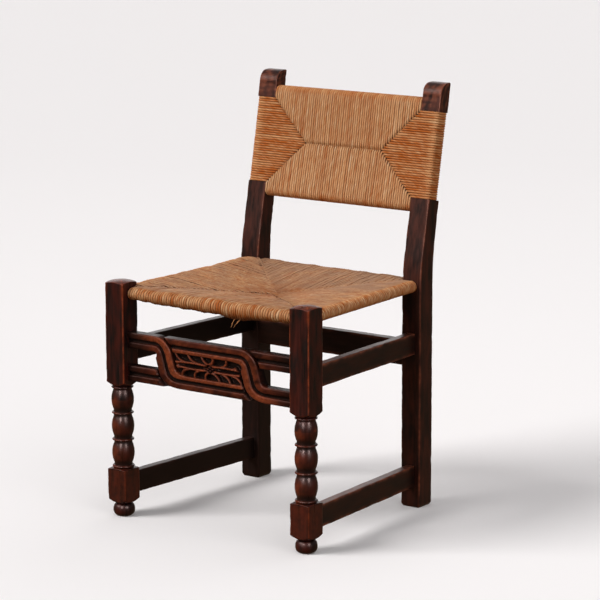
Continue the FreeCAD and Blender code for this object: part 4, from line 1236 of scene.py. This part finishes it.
@dataclass
class RushSeat:
    """Seat of four mitred windings over the hidden rails, dished in the middle."""
    node: str = "seat_rush"
    pitch: float = 5.5
    vary: float = 0.15          # spread of the strands' widths
    out: float = 15.0           # rail's centre line to the weave's edge
    half: float = 12.5          # half the weave's depth at the rails
    dish: float = 20.0
    belly: float = 13.0
    rail_height: float = 446.0
    front_back: float = 13.0    # front edge behind the front legs' front faces
    middle_back: float = 226.0  # weave's middle behind the front legs' front faces
    rail_inset: float = 24.5    # side rails' centre lines inside the legs' outer faces
    rear_back: float = 20.0     # rear rail's centre line behind the rear posts' front faces
    pressed: float = 0.22
    front_past: float = -0.1    # strands' ends past the mitre, over the pitch: the front's,
    rear_past: float = 0.6      # the rear's
    side_past: float = 1.2      # and the sides'
    least_reach: float = 6.0
    tip_turn: tuple[float, float] = (-10.0, 2.0)  # how far the side strands' front tips go forwards and up
    side_ends: ClassVar[dict[str, float]] = {"lift": 1.6, "dive": 0.9, "taper": 0.4, "fray": 20.0,
                                             "face_gap": 1.0}
    face_ends: ClassVar[dict[str, float]] = {"dive": 1.6, "taper": 0.1, "face_gap": 0.6}
    rear_closing: float = 0.45  # share of the painted shade between the ends that the rear mitres lack
    sag: float = 5.0            # fall of the front edge
    bulge: float = 5.0          # and more of it at one place
    bulge_place: float = 70.0
    bulge_width: float = 34.0
    ragged: float = 1.6
    hump: float = 6.5           # rise at the rear left
    edge_hump: float = 3.0      # and along the left edge
    rear_dip: float = 1.6       # fall of the rear strands beside the hump
    billow: float = 1.2         # gentle waves all over
    straw: float = 0.36         # strands' tone
    strand_spread: float = 0.07
    roll_spread: float = 0.02   # more of it on the rolls
    run_spread: float = 0.12    # and along a strand
    fading: float = 0.30        # how far the strands have faded, and more towards
    rear_fading: float = 0.36   # the rear,
    front_fading: float = 0.10  # the front
    side_fading: float = 0.14   # and the sides
    most_fading: float = 0.85
    stray_ends: int = 5
    stray_place: tuple[float, float, float] = (68.0, -226.0, 428.0)
    stray_way: tuple[float, float, float] = (-9.0, -2.0, -9.0)
    stray_droop: float = 4.0
    stray_radius: float = 0.9
    stray_taper: float = 0.6

    @property
    def middle(self) -> float:
        """Place of the weave's middle, from front to back."""
        return corner("front_leg_right")[0][1] + self.middle_back

    def build(self, finish: bpy.types.Material) -> bpy.types.Object:
        """Winds the four sides and adds the stray ends that hang under the front.

        Args:
            finish: Rush.

        Returns:
            The woven seat.
        """
        skins, fields = [], []
        for name, seed in (("front", 1), ("right", 2), ("rear", 3), ("left", 4)):
            winding = self.wound(name, seed)
            made = winding.strands()
            made["lines"] = self.settled(made, name)
            # The rear mitres lose part of the painted shade between the ends, and all of it at the tucks.
            behind = step(made["lines"][..., 1], self.middle - 20, self.middle + 20)
            made["valley"] = made["valley"] * (1 - self.rear_closing * behind * made["apart"])
            made["tuck"] = made["tuck"] * (1 - behind)
            rings, lay = winding.tubes(made)
            skins.append(lofted(rings))
            fields.append(strand_fields(made, lay, *self.colours(made, seed)))
        ends = self.loose_ends()
        skins.append(lofted(ends))
        blank = np.zeros(ends.shape[:3])
        none = with_poles(blank)
        fields.append({"tone": with_poles(blank + 0.4), "age": none, "depth": none,
                       "lay": np.zeros((none.size, 3))})
        return make_piece("woven_seat", skins, strung(fields), finish, [self.node])

    def wound(self, name: str, seed: int) -> Winding:
        """Lays out the strands of one side between the legs and the posts.

        Args:
            name: Side of the seat.
            seed: Seed of the strands' widths and wander.

        Returns:
            The side's winding.
        """
        leg_low, leg_high = corner("front_leg_right")
        post_low, post_high = corner("rear_post_right")
        y_post, middle = RearPost.front_face(), self.middle
        y_front, y_rear = leg_low[1] + self.front_back + self.out, y_post + self.rear_back
        x_front, x_rear = leg_high[0] - self.rail_inset, post_high[0] - self.rail_inset
        if name in ("front", "rear"):
            x_in, y_rail, x_end, way, past = (
                (leg_low[0], y_front, x_front, 1.0, self.front_past) if name == "front"
                else (post_low[0], y_rear, x_rear, -1.0, self.rear_past))
            x, width = self.places(-x_in, x_in, seed)
            y = np.full_like(x, y_rail)
            inward, span = np.array([0, way, 0]), abs(middle - y_rail)
            reach = span * (1 - np.abs(x) / x_end) + past * self.pitch
        else:
            sign = 1.0 if name == "right" else -1.0
            y, width = self.places(leg_high[1], y_post, seed)
            x_rail = x_front + (x_rear - x_front) * (y - y_front) / (y_rear - y_front)
            x = sign * x_rail
            inward, span = np.array([-sign, 0, 0]), (x_front + x_rear) / 2
            ahead = y < middle
            way_in = np.where(ahead, (y - y_front) / (middle - y_front), (y_rear - y) / (y_rear - middle))
            reach = x_rail - np.where(ahead, x_front, x_rear) * (1 - way_in) + self.side_past * self.pitch
        return Winding(base=np.stack([x, y, np.full_like(x, self.rail_height)], -1), inward=inward,
                       face=np.array([0, 0, 1.0]), reach=np.maximum(reach, self.least_reach), span=span,
                       pitch=width, out=self.out, half=self.half, dish=self.dish, belly=self.belly,
                       pressed=self.pressed, seed=seed,
                       **(self.side_ends if name in ("left", "right") else self.face_ends))

    def loose_ends(self) -> Array:
        """Thin ends of rush that hang from under the front edge: bent tubes that taper along a parabola.

        Returns:
            Rings (ends, points along, points round, 3).
        """
        rng = np.random.default_rng(77)
        count = self.stray_ends
        t = np.linspace(0, 1, 7)[None, :, None]
        root = np.array(self.stray_place) + rng.normal(size=(count, 1, 3)) * np.array([9.0, 2.0, 1.0])
        way = np.array(self.stray_way) + rng.normal(size=(count, 1, 3)) * np.array([4.0, 2.0, 3.0])
        line = root + way * t + np.array([0.0, 0.0, -self.stray_droop]) * t * t
        angle = np.linspace(0, 2 * math.pi, 6, endpoint=False)
        round_way = np.stack([np.cos(angle), np.sin(angle), np.zeros(6)], -1)
        return line[:, :, None] + round_way * (self.stray_radius - self.stray_taper * t)[..., None]

    def places(self, low: float, high: float, seed: int) -> tuple[Array, Array]:
        """Strands' places between two faces and their widths, which vary and fill the length.

        Args:
            low: Face where the strands begin.
            high: Face where they end.
            seed: Seed of the widths.

        Returns:
            Places (n) and widths (n, 1).
        """
        count = int(round((high - low) / self.pitch))
        width = np.clip(1 + self.vary * np.random.default_rng(seed + 80).normal(size=count), 0.65, 1.4)
        width = width * (high - low) / width.sum()
        return low + np.cumsum(width) - width / 2, width[:, None]

    def settled(self, made: dict[str, Array], name: str) -> Array:
        """Sags the front edge, humps the left edge and turns the side strands' tips, as use has done.

        The sag is a cosine with a bell-shaped bulge, and the humps are bells in plan.

        Args:
            made: Strands from Winding.strands.
            name: Side of the seat.

        Returns:
            Moved centre lines.
        """
        lines = made["lines"].copy()
        x, y, z = lines[..., 0], lines[..., 1], lines[..., 2]
        lower = step(self.rail_height - z, -4.0, self.half)
        if name == "front":
            sag = self.sag * np.cos(np.clip((x - 20) / 420, -0.5, 0.5) * math.pi)
            sag = sag + self.bulge * np.exp(-((x - self.bulge_place) / self.bulge_width) ** 2)
            sag = sag + self.ragged * drift(line_of(x), 40, 9)
            lines[..., 2] -= lower * sag * np.exp(-np.maximum(y + 200, 0) / 80)
        upper = step(z - self.rail_height, -4.0, self.half)
        hump = self.hump * np.exp(-((x + 170) / 55) ** 2 - ((y - 120) / 70) ** 2)
        hump = hump + self.edge_hump * np.exp(-((x + 215) / 40) ** 2) * step(y, -190, 20)
        if name == "rear":
            hump = hump * 0.6 - self.rear_dip * np.exp(-((x + 160) / 45) ** 2) * step(y, 60, 130)
        lines[..., 2] += upper * (hump + self.billow * drift(lines[..., :2], 70, 12))
        if name in ("left", "right"):
            ahead = made["apart"] ** 2 * (made["seen"] > 0) * (y < y.mean())
            lines[..., 1:] += ahead[..., None] * np.array(self.tip_turn)
        return lines

    def colours(self, made: dict[str, Array], seed: int) -> tuple[Array, Array, Array]:
        """Tone and fading of the seat's strands: straw, with dull brown patches towards the rear and front,
        and painted shade under the rolls.

        Args:
            made: Strands from Winding.strands.
            seed: Seed of the strands' own tones.

        Returns:
            Tone, age and painted shade at each point of each strand.
        """
        rng = np.random.default_rng(seed + 40)
        lines = made["lines"]
        flat = lines[..., :2]
        edge = step(np.abs(made["seen"]), 1, 0)
        tone = self.straw + (self.strand_spread + self.roll_spread * edge) * rng.normal(size=(len(lines), 1))
        tone = tone + self.run_spread * drift(strand_places(made["run"], 97.0), 40, 21)
        patch = 0.28 * drift(flat, 110, 22) + 0.22 * drift(flat, 40, 23)
        rear = step(flat[..., 1], -10, 50) * step(flat[..., 0] + flat[..., 1], -110, 10)
        front = step(-flat[..., 1], 60, 170)
        side = step(np.abs(flat[..., 0]), 20, 120)
        age = self.fading + 0.6 * patch + self.rear_fading * rear + self.front_fading * front
        age = np.clip(age + self.side_fading * side, 0, self.most_fading)
        # Painted shade: the lower half of each roll is darker and takes the gaps' colour.
        low = step(self.rail_height - lines[..., 2], -3, self.half + 2)
        return tone - 0.02 * edge - 0.2 * low, age * (1 - 0.85 * edge), 0.72 * low ** 2


@dataclass(frozen=True)
class BackTone:
    """Colouring of a pair of the back's windings."""
    base: float                 # strands' tone on the faces
    turned: float               # its change on the turn round post or rail
    fold_highlight: float               # painted highlight at the fold where the turn begins
    fading: float               # share of the fading


@dataclass
class RushBack:
    """Back of four mitred windings on the leaning posts and two hidden rails."""
    node: str = "back_rush"
    side_count: int = 36
    pitch: float = 5.09
    depth: float = 32.0         # weave from front to back
    proud: float = 0.4          # strands in front of the posts' faces
    overhang: float = 27.0      # weave beyond the posts' shoulders at top and bottom
    rail_out: float = 15.0
    dish: float = 3.0
    post_square: float = 7.0    # power of the turn round a post
    rail_square: float = 2.6    # and round a rail
    fold: float = 5.5           # depth of the fold
    strand_spread: float = 0.08
    run_spread: float = 0.10
    fading: float = 0.04        # how far the strands have faded
    fading_spread: float = 0.08
    ends: ClassVar[dict[str, float]] = {"tight": 0.545, "uneven": 0.015, "dive": 1.7, "taper": 0.12,
                                        "fray": 10.0, "roll_gap": 0.6}
    on_posts: ClassVar[BackTone] = BackTone(0.16, 0.0, 0.2, 0.3)
    on_rails: ClassVar[BackTone] = BackTone(0.45, -0.14, 0.0, 1.0)

    def build(self, finish: bpy.types.Material) -> bpy.types.Object:
        """Winds the four sides in the upright, then leans them to the posts' rake.

        Args:
            finish: Rush.

        Returns:
            The woven back.
        """
        post = RearPost(Hand.RIGHT)
        skins, fields = [], []
        for name, seed in (("right", 5), ("left", 6), ("top", 7), ("bottom", 8)):
            winding = self.wound(name, seed, post)
            made = winding.strands()
            rings, lay = winding.tubes(made)
            skins.append(lofted(self.leaned(rings, post)))
            fields.append(strand_fields(made, lay, *self.colours(made, name, seed)))
        return make_piece("woven_back", skins, strung(fields), finish, [self.node])

    def wound(self, name: str, seed: int, post: RearPost) -> Winding:
        """Lays out the strands of one side: across, depth behind the posts' faces and height over the bend.

        Args:
            name: Side of the back.
            seed: Seed of the strands' wander.
            post: Post that carries the weave.

        Returns:
            The side's winding.
        """
        low, high = corner("rear_post_right")
        x_in, x_out = low[0], high[0]
        start, end = post.wrap_start, post.wrap_start + post.wrap_length
        middle, span = (start + end) / 2, post.wrap_length / 2
        over = self.overhang - self.rail_out
        sign = 1.0 if name in ("right", "top") else -1.0
        if name in ("right", "left"):
            pitch, square = post.wrap_length / self.side_count, self.post_square
            s = start + (np.arange(self.side_count) + 0.5) * post.wrap_length / self.side_count
            x_rail = (x_in + x_out) / 2
            x = np.full_like(s, sign * x_rail)
            inward, cover = np.array([-sign, 0, 0]), span + x_rail - x_in
            reach = np.minimum(s - start, end - s) + (x_rail - x_in)
            out = x_out - x_rail + self.proud
        else:
            pitch, square = self.pitch, self.rail_square
            count = int(round(2 * x_in / pitch))
            x = -x_in + (np.arange(count) + 0.5) * 2 * x_in / count
            s = np.full_like(x, middle + sign * (span + over))
            inward, cover = np.array([0, 0, -sign]), span + over
            reach = np.minimum(x_in - np.abs(x), span) + over
            out = self.rail_out
        return Winding(base=np.stack([x, np.full_like(x, self.depth / 2), s], -1), inward=inward,
                       face=np.array([0, -1.0, 0]), reach=reach, span=cover, pitch=pitch, out=out,
                       half=self.depth / 2 + self.proud, dish=self.dish, belly=-self.dish, square=square,
                       seed=seed, **self.ends)

    @staticmethod
    def leaned(points: Array, post: RearPost) -> Array:
        """Turns points drawn upright on the post's front face back by the rake.

        Args:
            points: Across, depth and height over the bend.
            post: Post that carries the rake.

        Returns:
            Points in the chair's frame.
        """
        c, s = math.cos(post.rake), math.sin(post.rake)
        y = points[..., 1] * c + points[..., 2] * s
        z = points[..., 2] * c - points[..., 1] * s
        return np.stack([points[..., 0], post.front_face() + y, post.front_bend + z], -1)

    def colours(self, made: dict[str, Array], name: str, seed: int) -> tuple[Array, Array, Array]:
        """Tone and fading of the back's strands: orange-brown on the posts, straw above and below.

        Args:
            made: Strands from Winding.strands.
            name: Side of the back.
            seed: Seed of the strands' own tones.

        Returns:
            Tone, age and painted shade (none on the back) at each point of each strand.
        """
        rng = np.random.default_rng(seed + 60)
        flat, depth = made["lines"][..., [0, 2]], made["lines"][..., 1]
        look = self.on_posts if name in ("right", "left") else self.on_rails
        tone = look.base + self.strand_spread * rng.normal(size=(len(flat), 1))
        tone = tone + self.run_spread * drift(strand_places(made["run"], 97.0), 60, 31)
        # Painted highlight along the fold where the strands turn round the post.
        tone = tone + (made["seen"] == 0) * (look.turned + look.fold_highlight * np.exp(-(depth / self.fold) ** 2))
        age = np.clip(self.fading + self.fading_spread * drift(flat, 70, 32), 0, 0.5)
        return tone, age * look.fading, np.zeros_like(tone)


@dataclass(frozen=True)
class Studio:
    """Pale floor, soft light and the camera of the photograph's angle."""
    floor: str = "#f6f2f1"
    sky: str = "#8b8b8d"
    ground: str = "#7a6852"     # what the wood mirrors and the undersides see: dull and warm
    floor_reach: float = 40.0
    eye: tuple[float, float, float] = (3184.48, -4245.70, 1466.59)  # millimetres
    azimuth: float = 36.53      # degrees
    elevation: float = 11.16
    roll: float = -0.15
    focal_pixels: float = 2762.21
    frame_pixels: float = 600.0
    sensor: float = 36.0        # millimetres
    aim: float = 0.42           # height that the lights face, in metres
    horizon: tuple[float, float] = (-0.02, 0.06)  # where the ground's colour gives way to the sky's
    # Name, place in metres, strength and angle in degrees of each sun.
    suns: ClassVar[tuple] = (("key", (-2.0, -2.6, 2.7), 2.75, 30), ("fill", (3.4, -1.2, 2.0), 0.95, 60),
                             ("rear", (0.6, 3.5, 1.6), 0.7, 80))
    # Name, place, width and height in metres, and power in watts of each softbox.
    boxes: ClassVar[tuple] = (("overhead", (-0.3, 0.3, 3.0), (2.0, 2.0), 9.0),
                              ("left_box", (0.40, -3.70, 2.0), (0.45, 1.7), 205.0),
                              ("right_box", (3.40, -1.40, 2.0), (0.45, 1.7), 175.0),
                              ("rear_wall", (-2.6, 3.6, 1.7), (6.0, 1.9), 52.0))
    lighting: ClassVar[tuple] = ("key", "fill", "rear", "overhead")  # the others show in the sheen alone
    unmirrored: ClassVar[tuple] = ("fill", "rear")                   # and these don't show in it

    def build(self) -> None:
        """Makes the floor, the lights, the sky and the camera."""
        self.make_floor()
        self.make_lights()
        self.make_camera()

    def make_floor(self) -> None:
        """Lays a plain pale floor."""
        material, tree = new_material("pale_floor")
        shader = add_node(tree, "ShaderNodeBsdfPrincipled", {
            "Base Color": linear(self.floor), "Roughness": 0.9, "Specular IOR Level": 0.1})
        add_node(tree, "ShaderNodeOutputMaterial", [shader])
        mesh = bpy.data.meshes.new("floor")
        r = self.floor_reach
        mesh.from_pydata([(-r, -r, 0), (r, -r, 0), (r, r, 0), (-r, r, 0)], [], [(0, 1, 2, 3)])
        mesh.materials.append(material)
        floor = bpy.data.objects.new("floor", mesh)
        floor.visible_glossy = floor.visible_diffuse = False
        bpy.context.scene.collection.objects.link(floor)

    def make_lights(self) -> None:
        """Sets soft suns, softboxes for the sheen, a bright rear wall and a pale sky."""
        scene = bpy.context.scene
        scene.view_settings.view_transform = "Standard"
        scene.world = bpy.data.worlds.new("studio_sky")
        scene.world.use_nodes = True
        tree = scene.world.node_tree
        tree.nodes.clear()
        way = add_node(tree, "ShaderNodeTexCoord", {}, out="Generated")
        height = add_node(tree, "ShaderNodeSeparateXYZ", [way], out="Z")
        rise = add_node(tree, "ShaderNodeMapRange", [height, *self.horizon, 0.0, 1.0])
        colour = add_node(tree, "ShaderNodeMix", {
            0: rise, MIX_A: linear(self.ground), MIX_B: linear(self.sky)}, out=MIX_OUT, data_type="RGBA")
        add_node(tree, "ShaderNodeOutputWorld", [add_node(tree, "ShaderNodeBackground", [colour, 1.0])])
        for name, spot, power, angle in self.suns:
            sun = bpy.data.lights.new(name, "SUN")
            sun.energy, sun.angle = power, math.radians(angle)
            self.place_light(name, sun, spot)
        for name, spot, size, power in self.boxes:
            light = bpy.data.lights.new(name, "AREA")
            light.shape, light.size, light.size_y, light.energy = "RECTANGLE", *size, power
            self.place_light(name, light, spot)

    def place_light(self, name: str, light: bpy.types.Light, spot: tuple[float, float, float]) -> None:
        """Hangs a light, turns it to the chair's middle and says where it shows.

        Args:
            name: Name of the light.
            light: Its data.
            spot: Its place, in metres.
        """
        lamp = bpy.data.objects.new(name, light)
        lamp.location = spot
        aim = Vector((0, 0, self.aim)) - Vector(spot)
        lamp.rotation_euler = aim.to_track_quat("-Z", "Y").to_euler()
        lamp.visible_camera = False
        lamp.visible_diffuse = name in self.lighting
        lamp.visible_glossy = name not in self.unmirrored
        bpy.context.scene.collection.objects.link(lamp)

    def make_camera(self) -> None:
        """Stands the camera where the photograph's lines say that it stood."""
        a, e, r = (math.radians(v) for v in (self.azimuth, self.elevation, self.roll))
        back = Vector((math.sin(a) * math.cos(e), -math.cos(a) * math.cos(e), math.sin(e)))
        right = Vector((math.cos(a), math.sin(a), 0))
        up = back.cross(right)
        right, up = math.cos(r) * right + math.sin(r) * up, math.cos(r) * up - math.sin(r) * right
        data = bpy.data.cameras.new("camera")
        data.sensor_width = self.sensor
        data.lens = self.sensor * self.focal_pixels / self.frame_pixels
        data.clip_end = 100.0
        camera = bpy.data.objects.new("camera", data)
        turn = Matrix((right, up, back)).transposed().to_4x4()
        camera.matrix_world = Matrix.Translation(Vector(self.eye) * MM) @ turn
        bpy.context.scene.collection.objects.link(camera)
        bpy.context.scene.camera = camera


@dataclass
class Chair:
    """The whole chair, sub-assembly by sub-assembly."""
    upper: tuple[float, float, float] = (310.0, 43.0, 19.0)  # bottom, height and thickness
    lower: tuple[float, float, float] = (41.0, 44.0, 19.0)
    rear: tuple[float, float, float] = (285.5, 50.5, 22.0)
    upper_inset: float = 4.0
    rear_setback: float = 1.0
    rear_tenon: float = 12.0
    left_shade: float = 0.85     # painted shade: the left side stands in the dark
    # painted shade on the rear stretcher
    rear_shade: float = 0.4
    finishes: dict[Grain, bpy.types.Material] = field(default_factory=dict)

    def build(self) -> None:
        """Builds and dresses every piece in order."""
        # Painted shade: the stretchers get darker copies of the waxed oak, as they stand in the seat's shade.
        for grain in (Grain.ACROSS, Grain.DEEP):
            shaded = WaxedOak(f"shaded_oak_{grain.name.lower()}", grain, dark="#120d0c", warm="#27120c")
            self.finishes[grain] = shaded.material()
        self.finishes[Grain.UPRIGHT] = WaxedOak("waxed_oak", Grain.UPRIGHT).material()
        # Its worn colour is also the painted light on the barrels' lit side.
        turned = WaxedOak("turned_oak", Grain.UPRIGHT, dark="#130e0d", warm="#3c130c", worn_and_lit="#94401f",
                          sheen="#ffdcd6", roughness=0.31).material()
        for hand in Hand:
            name = hand.name.lower()
            FrontLeg(hand).build(turned, f"front_leg_{name}")
            RearPost(hand, painted_shade=self.painted_darkening(hand)).build(self.finishes[Grain.UPRIGHT], f"rear_post_{name}")
            self.side_stretchers(hand)
        self.rear_stretcher()
        carved = WaxedOak("carved_oak", Grain.ACROSS, dark="#190906", warm="#441a10", worn_and_lit="#934729",
                          hollow="#110b09", roughness=0.34, specular=0.11, scuff_mm=4.0)
        CarvedRail().build(carved.material())
        RushSeat().build(TwistedRush("rubbed_rush", blotch_mm=13.0, blotch_swing=0.24).material())
        RushBack().build(TwistedRush("twisted_rush").material())
        self.dress_hidden()

    def painted_darkening(self, hand: Hand) -> float:
        """Painted shade on the wood of one side."""
        return self.left_shade if hand is Hand.LEFT else 0.0

    def side_stretchers(self, hand: Hand) -> None:
        """Makes the two stretchers of one side, splayed from leg to post.

        Args:
            hand: Side of the chair.
        """
        leg_low, leg_high = corner("front_leg_right")
        post_low, post_high = corner("rear_post_right")
        x_leg, x_post = (leg_low[0] + leg_high[0]) / 2, (post_low[0] + post_high[0]) / 2
        for name, sizes, inset in (("upper", self.upper, self.upper_inset), ("lower", self.lower, 0.0)):
            bottom, height, thickness = sizes
            start = (hand.value * (x_leg - inset), leg_high[1])
            end = (hand.value * x_post, RearPost.front_face())
            bar = Stretcher(f"{name}_side_stretcher_{hand.name.lower()}", start, end, bottom, height,
                            thickness, painted_shade=self.painted_darkening(hand))
            bar.build(self.finishes[Grain.DEEP])

    def rear_stretcher(self) -> None:
        """Makes the stretcher between the rear posts."""
        x_post = corner("rear_post_right")[0][0]
        bottom, height, thickness = self.rear
        y = RearPost.front_face() + self.rear_setback + thickness / 2
        bar = Stretcher("upper_rear_stretcher", (-x_post, y), (x_post, y), bottom, height, thickness,
                        tenon=self.rear_tenon, painted_shade=self.rear_shade)
        bar.build(self.finishes[Grain.ACROSS])

    @staticmethod
    def dress_hidden() -> None:
        """Gives the rails and the stuffing inside the weave their own plain finishes."""
        bare = PlainFill("bare_sawn_wood", "#a98258", "#8c6740", 4.0).material()
        loose = PlainFill("loose_rush", "#6d4a28", "#8a6238", 5.0).material()
        for name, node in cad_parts.items():
            if "rail" in name and "carved" not in name or "stuffing" in name:
                node.data.materials.clear()
                node.data.materials.append(loose if "stuffing" in name else bare)
                log.info("%s: kept from the frame", name)


def main() -> None:
    """Builds the chair and the studio round it."""
    logging.basicConfig(level=logging.INFO)
    Chair().build()
    Studio().build()


if __name__ == "__main__":
    main()
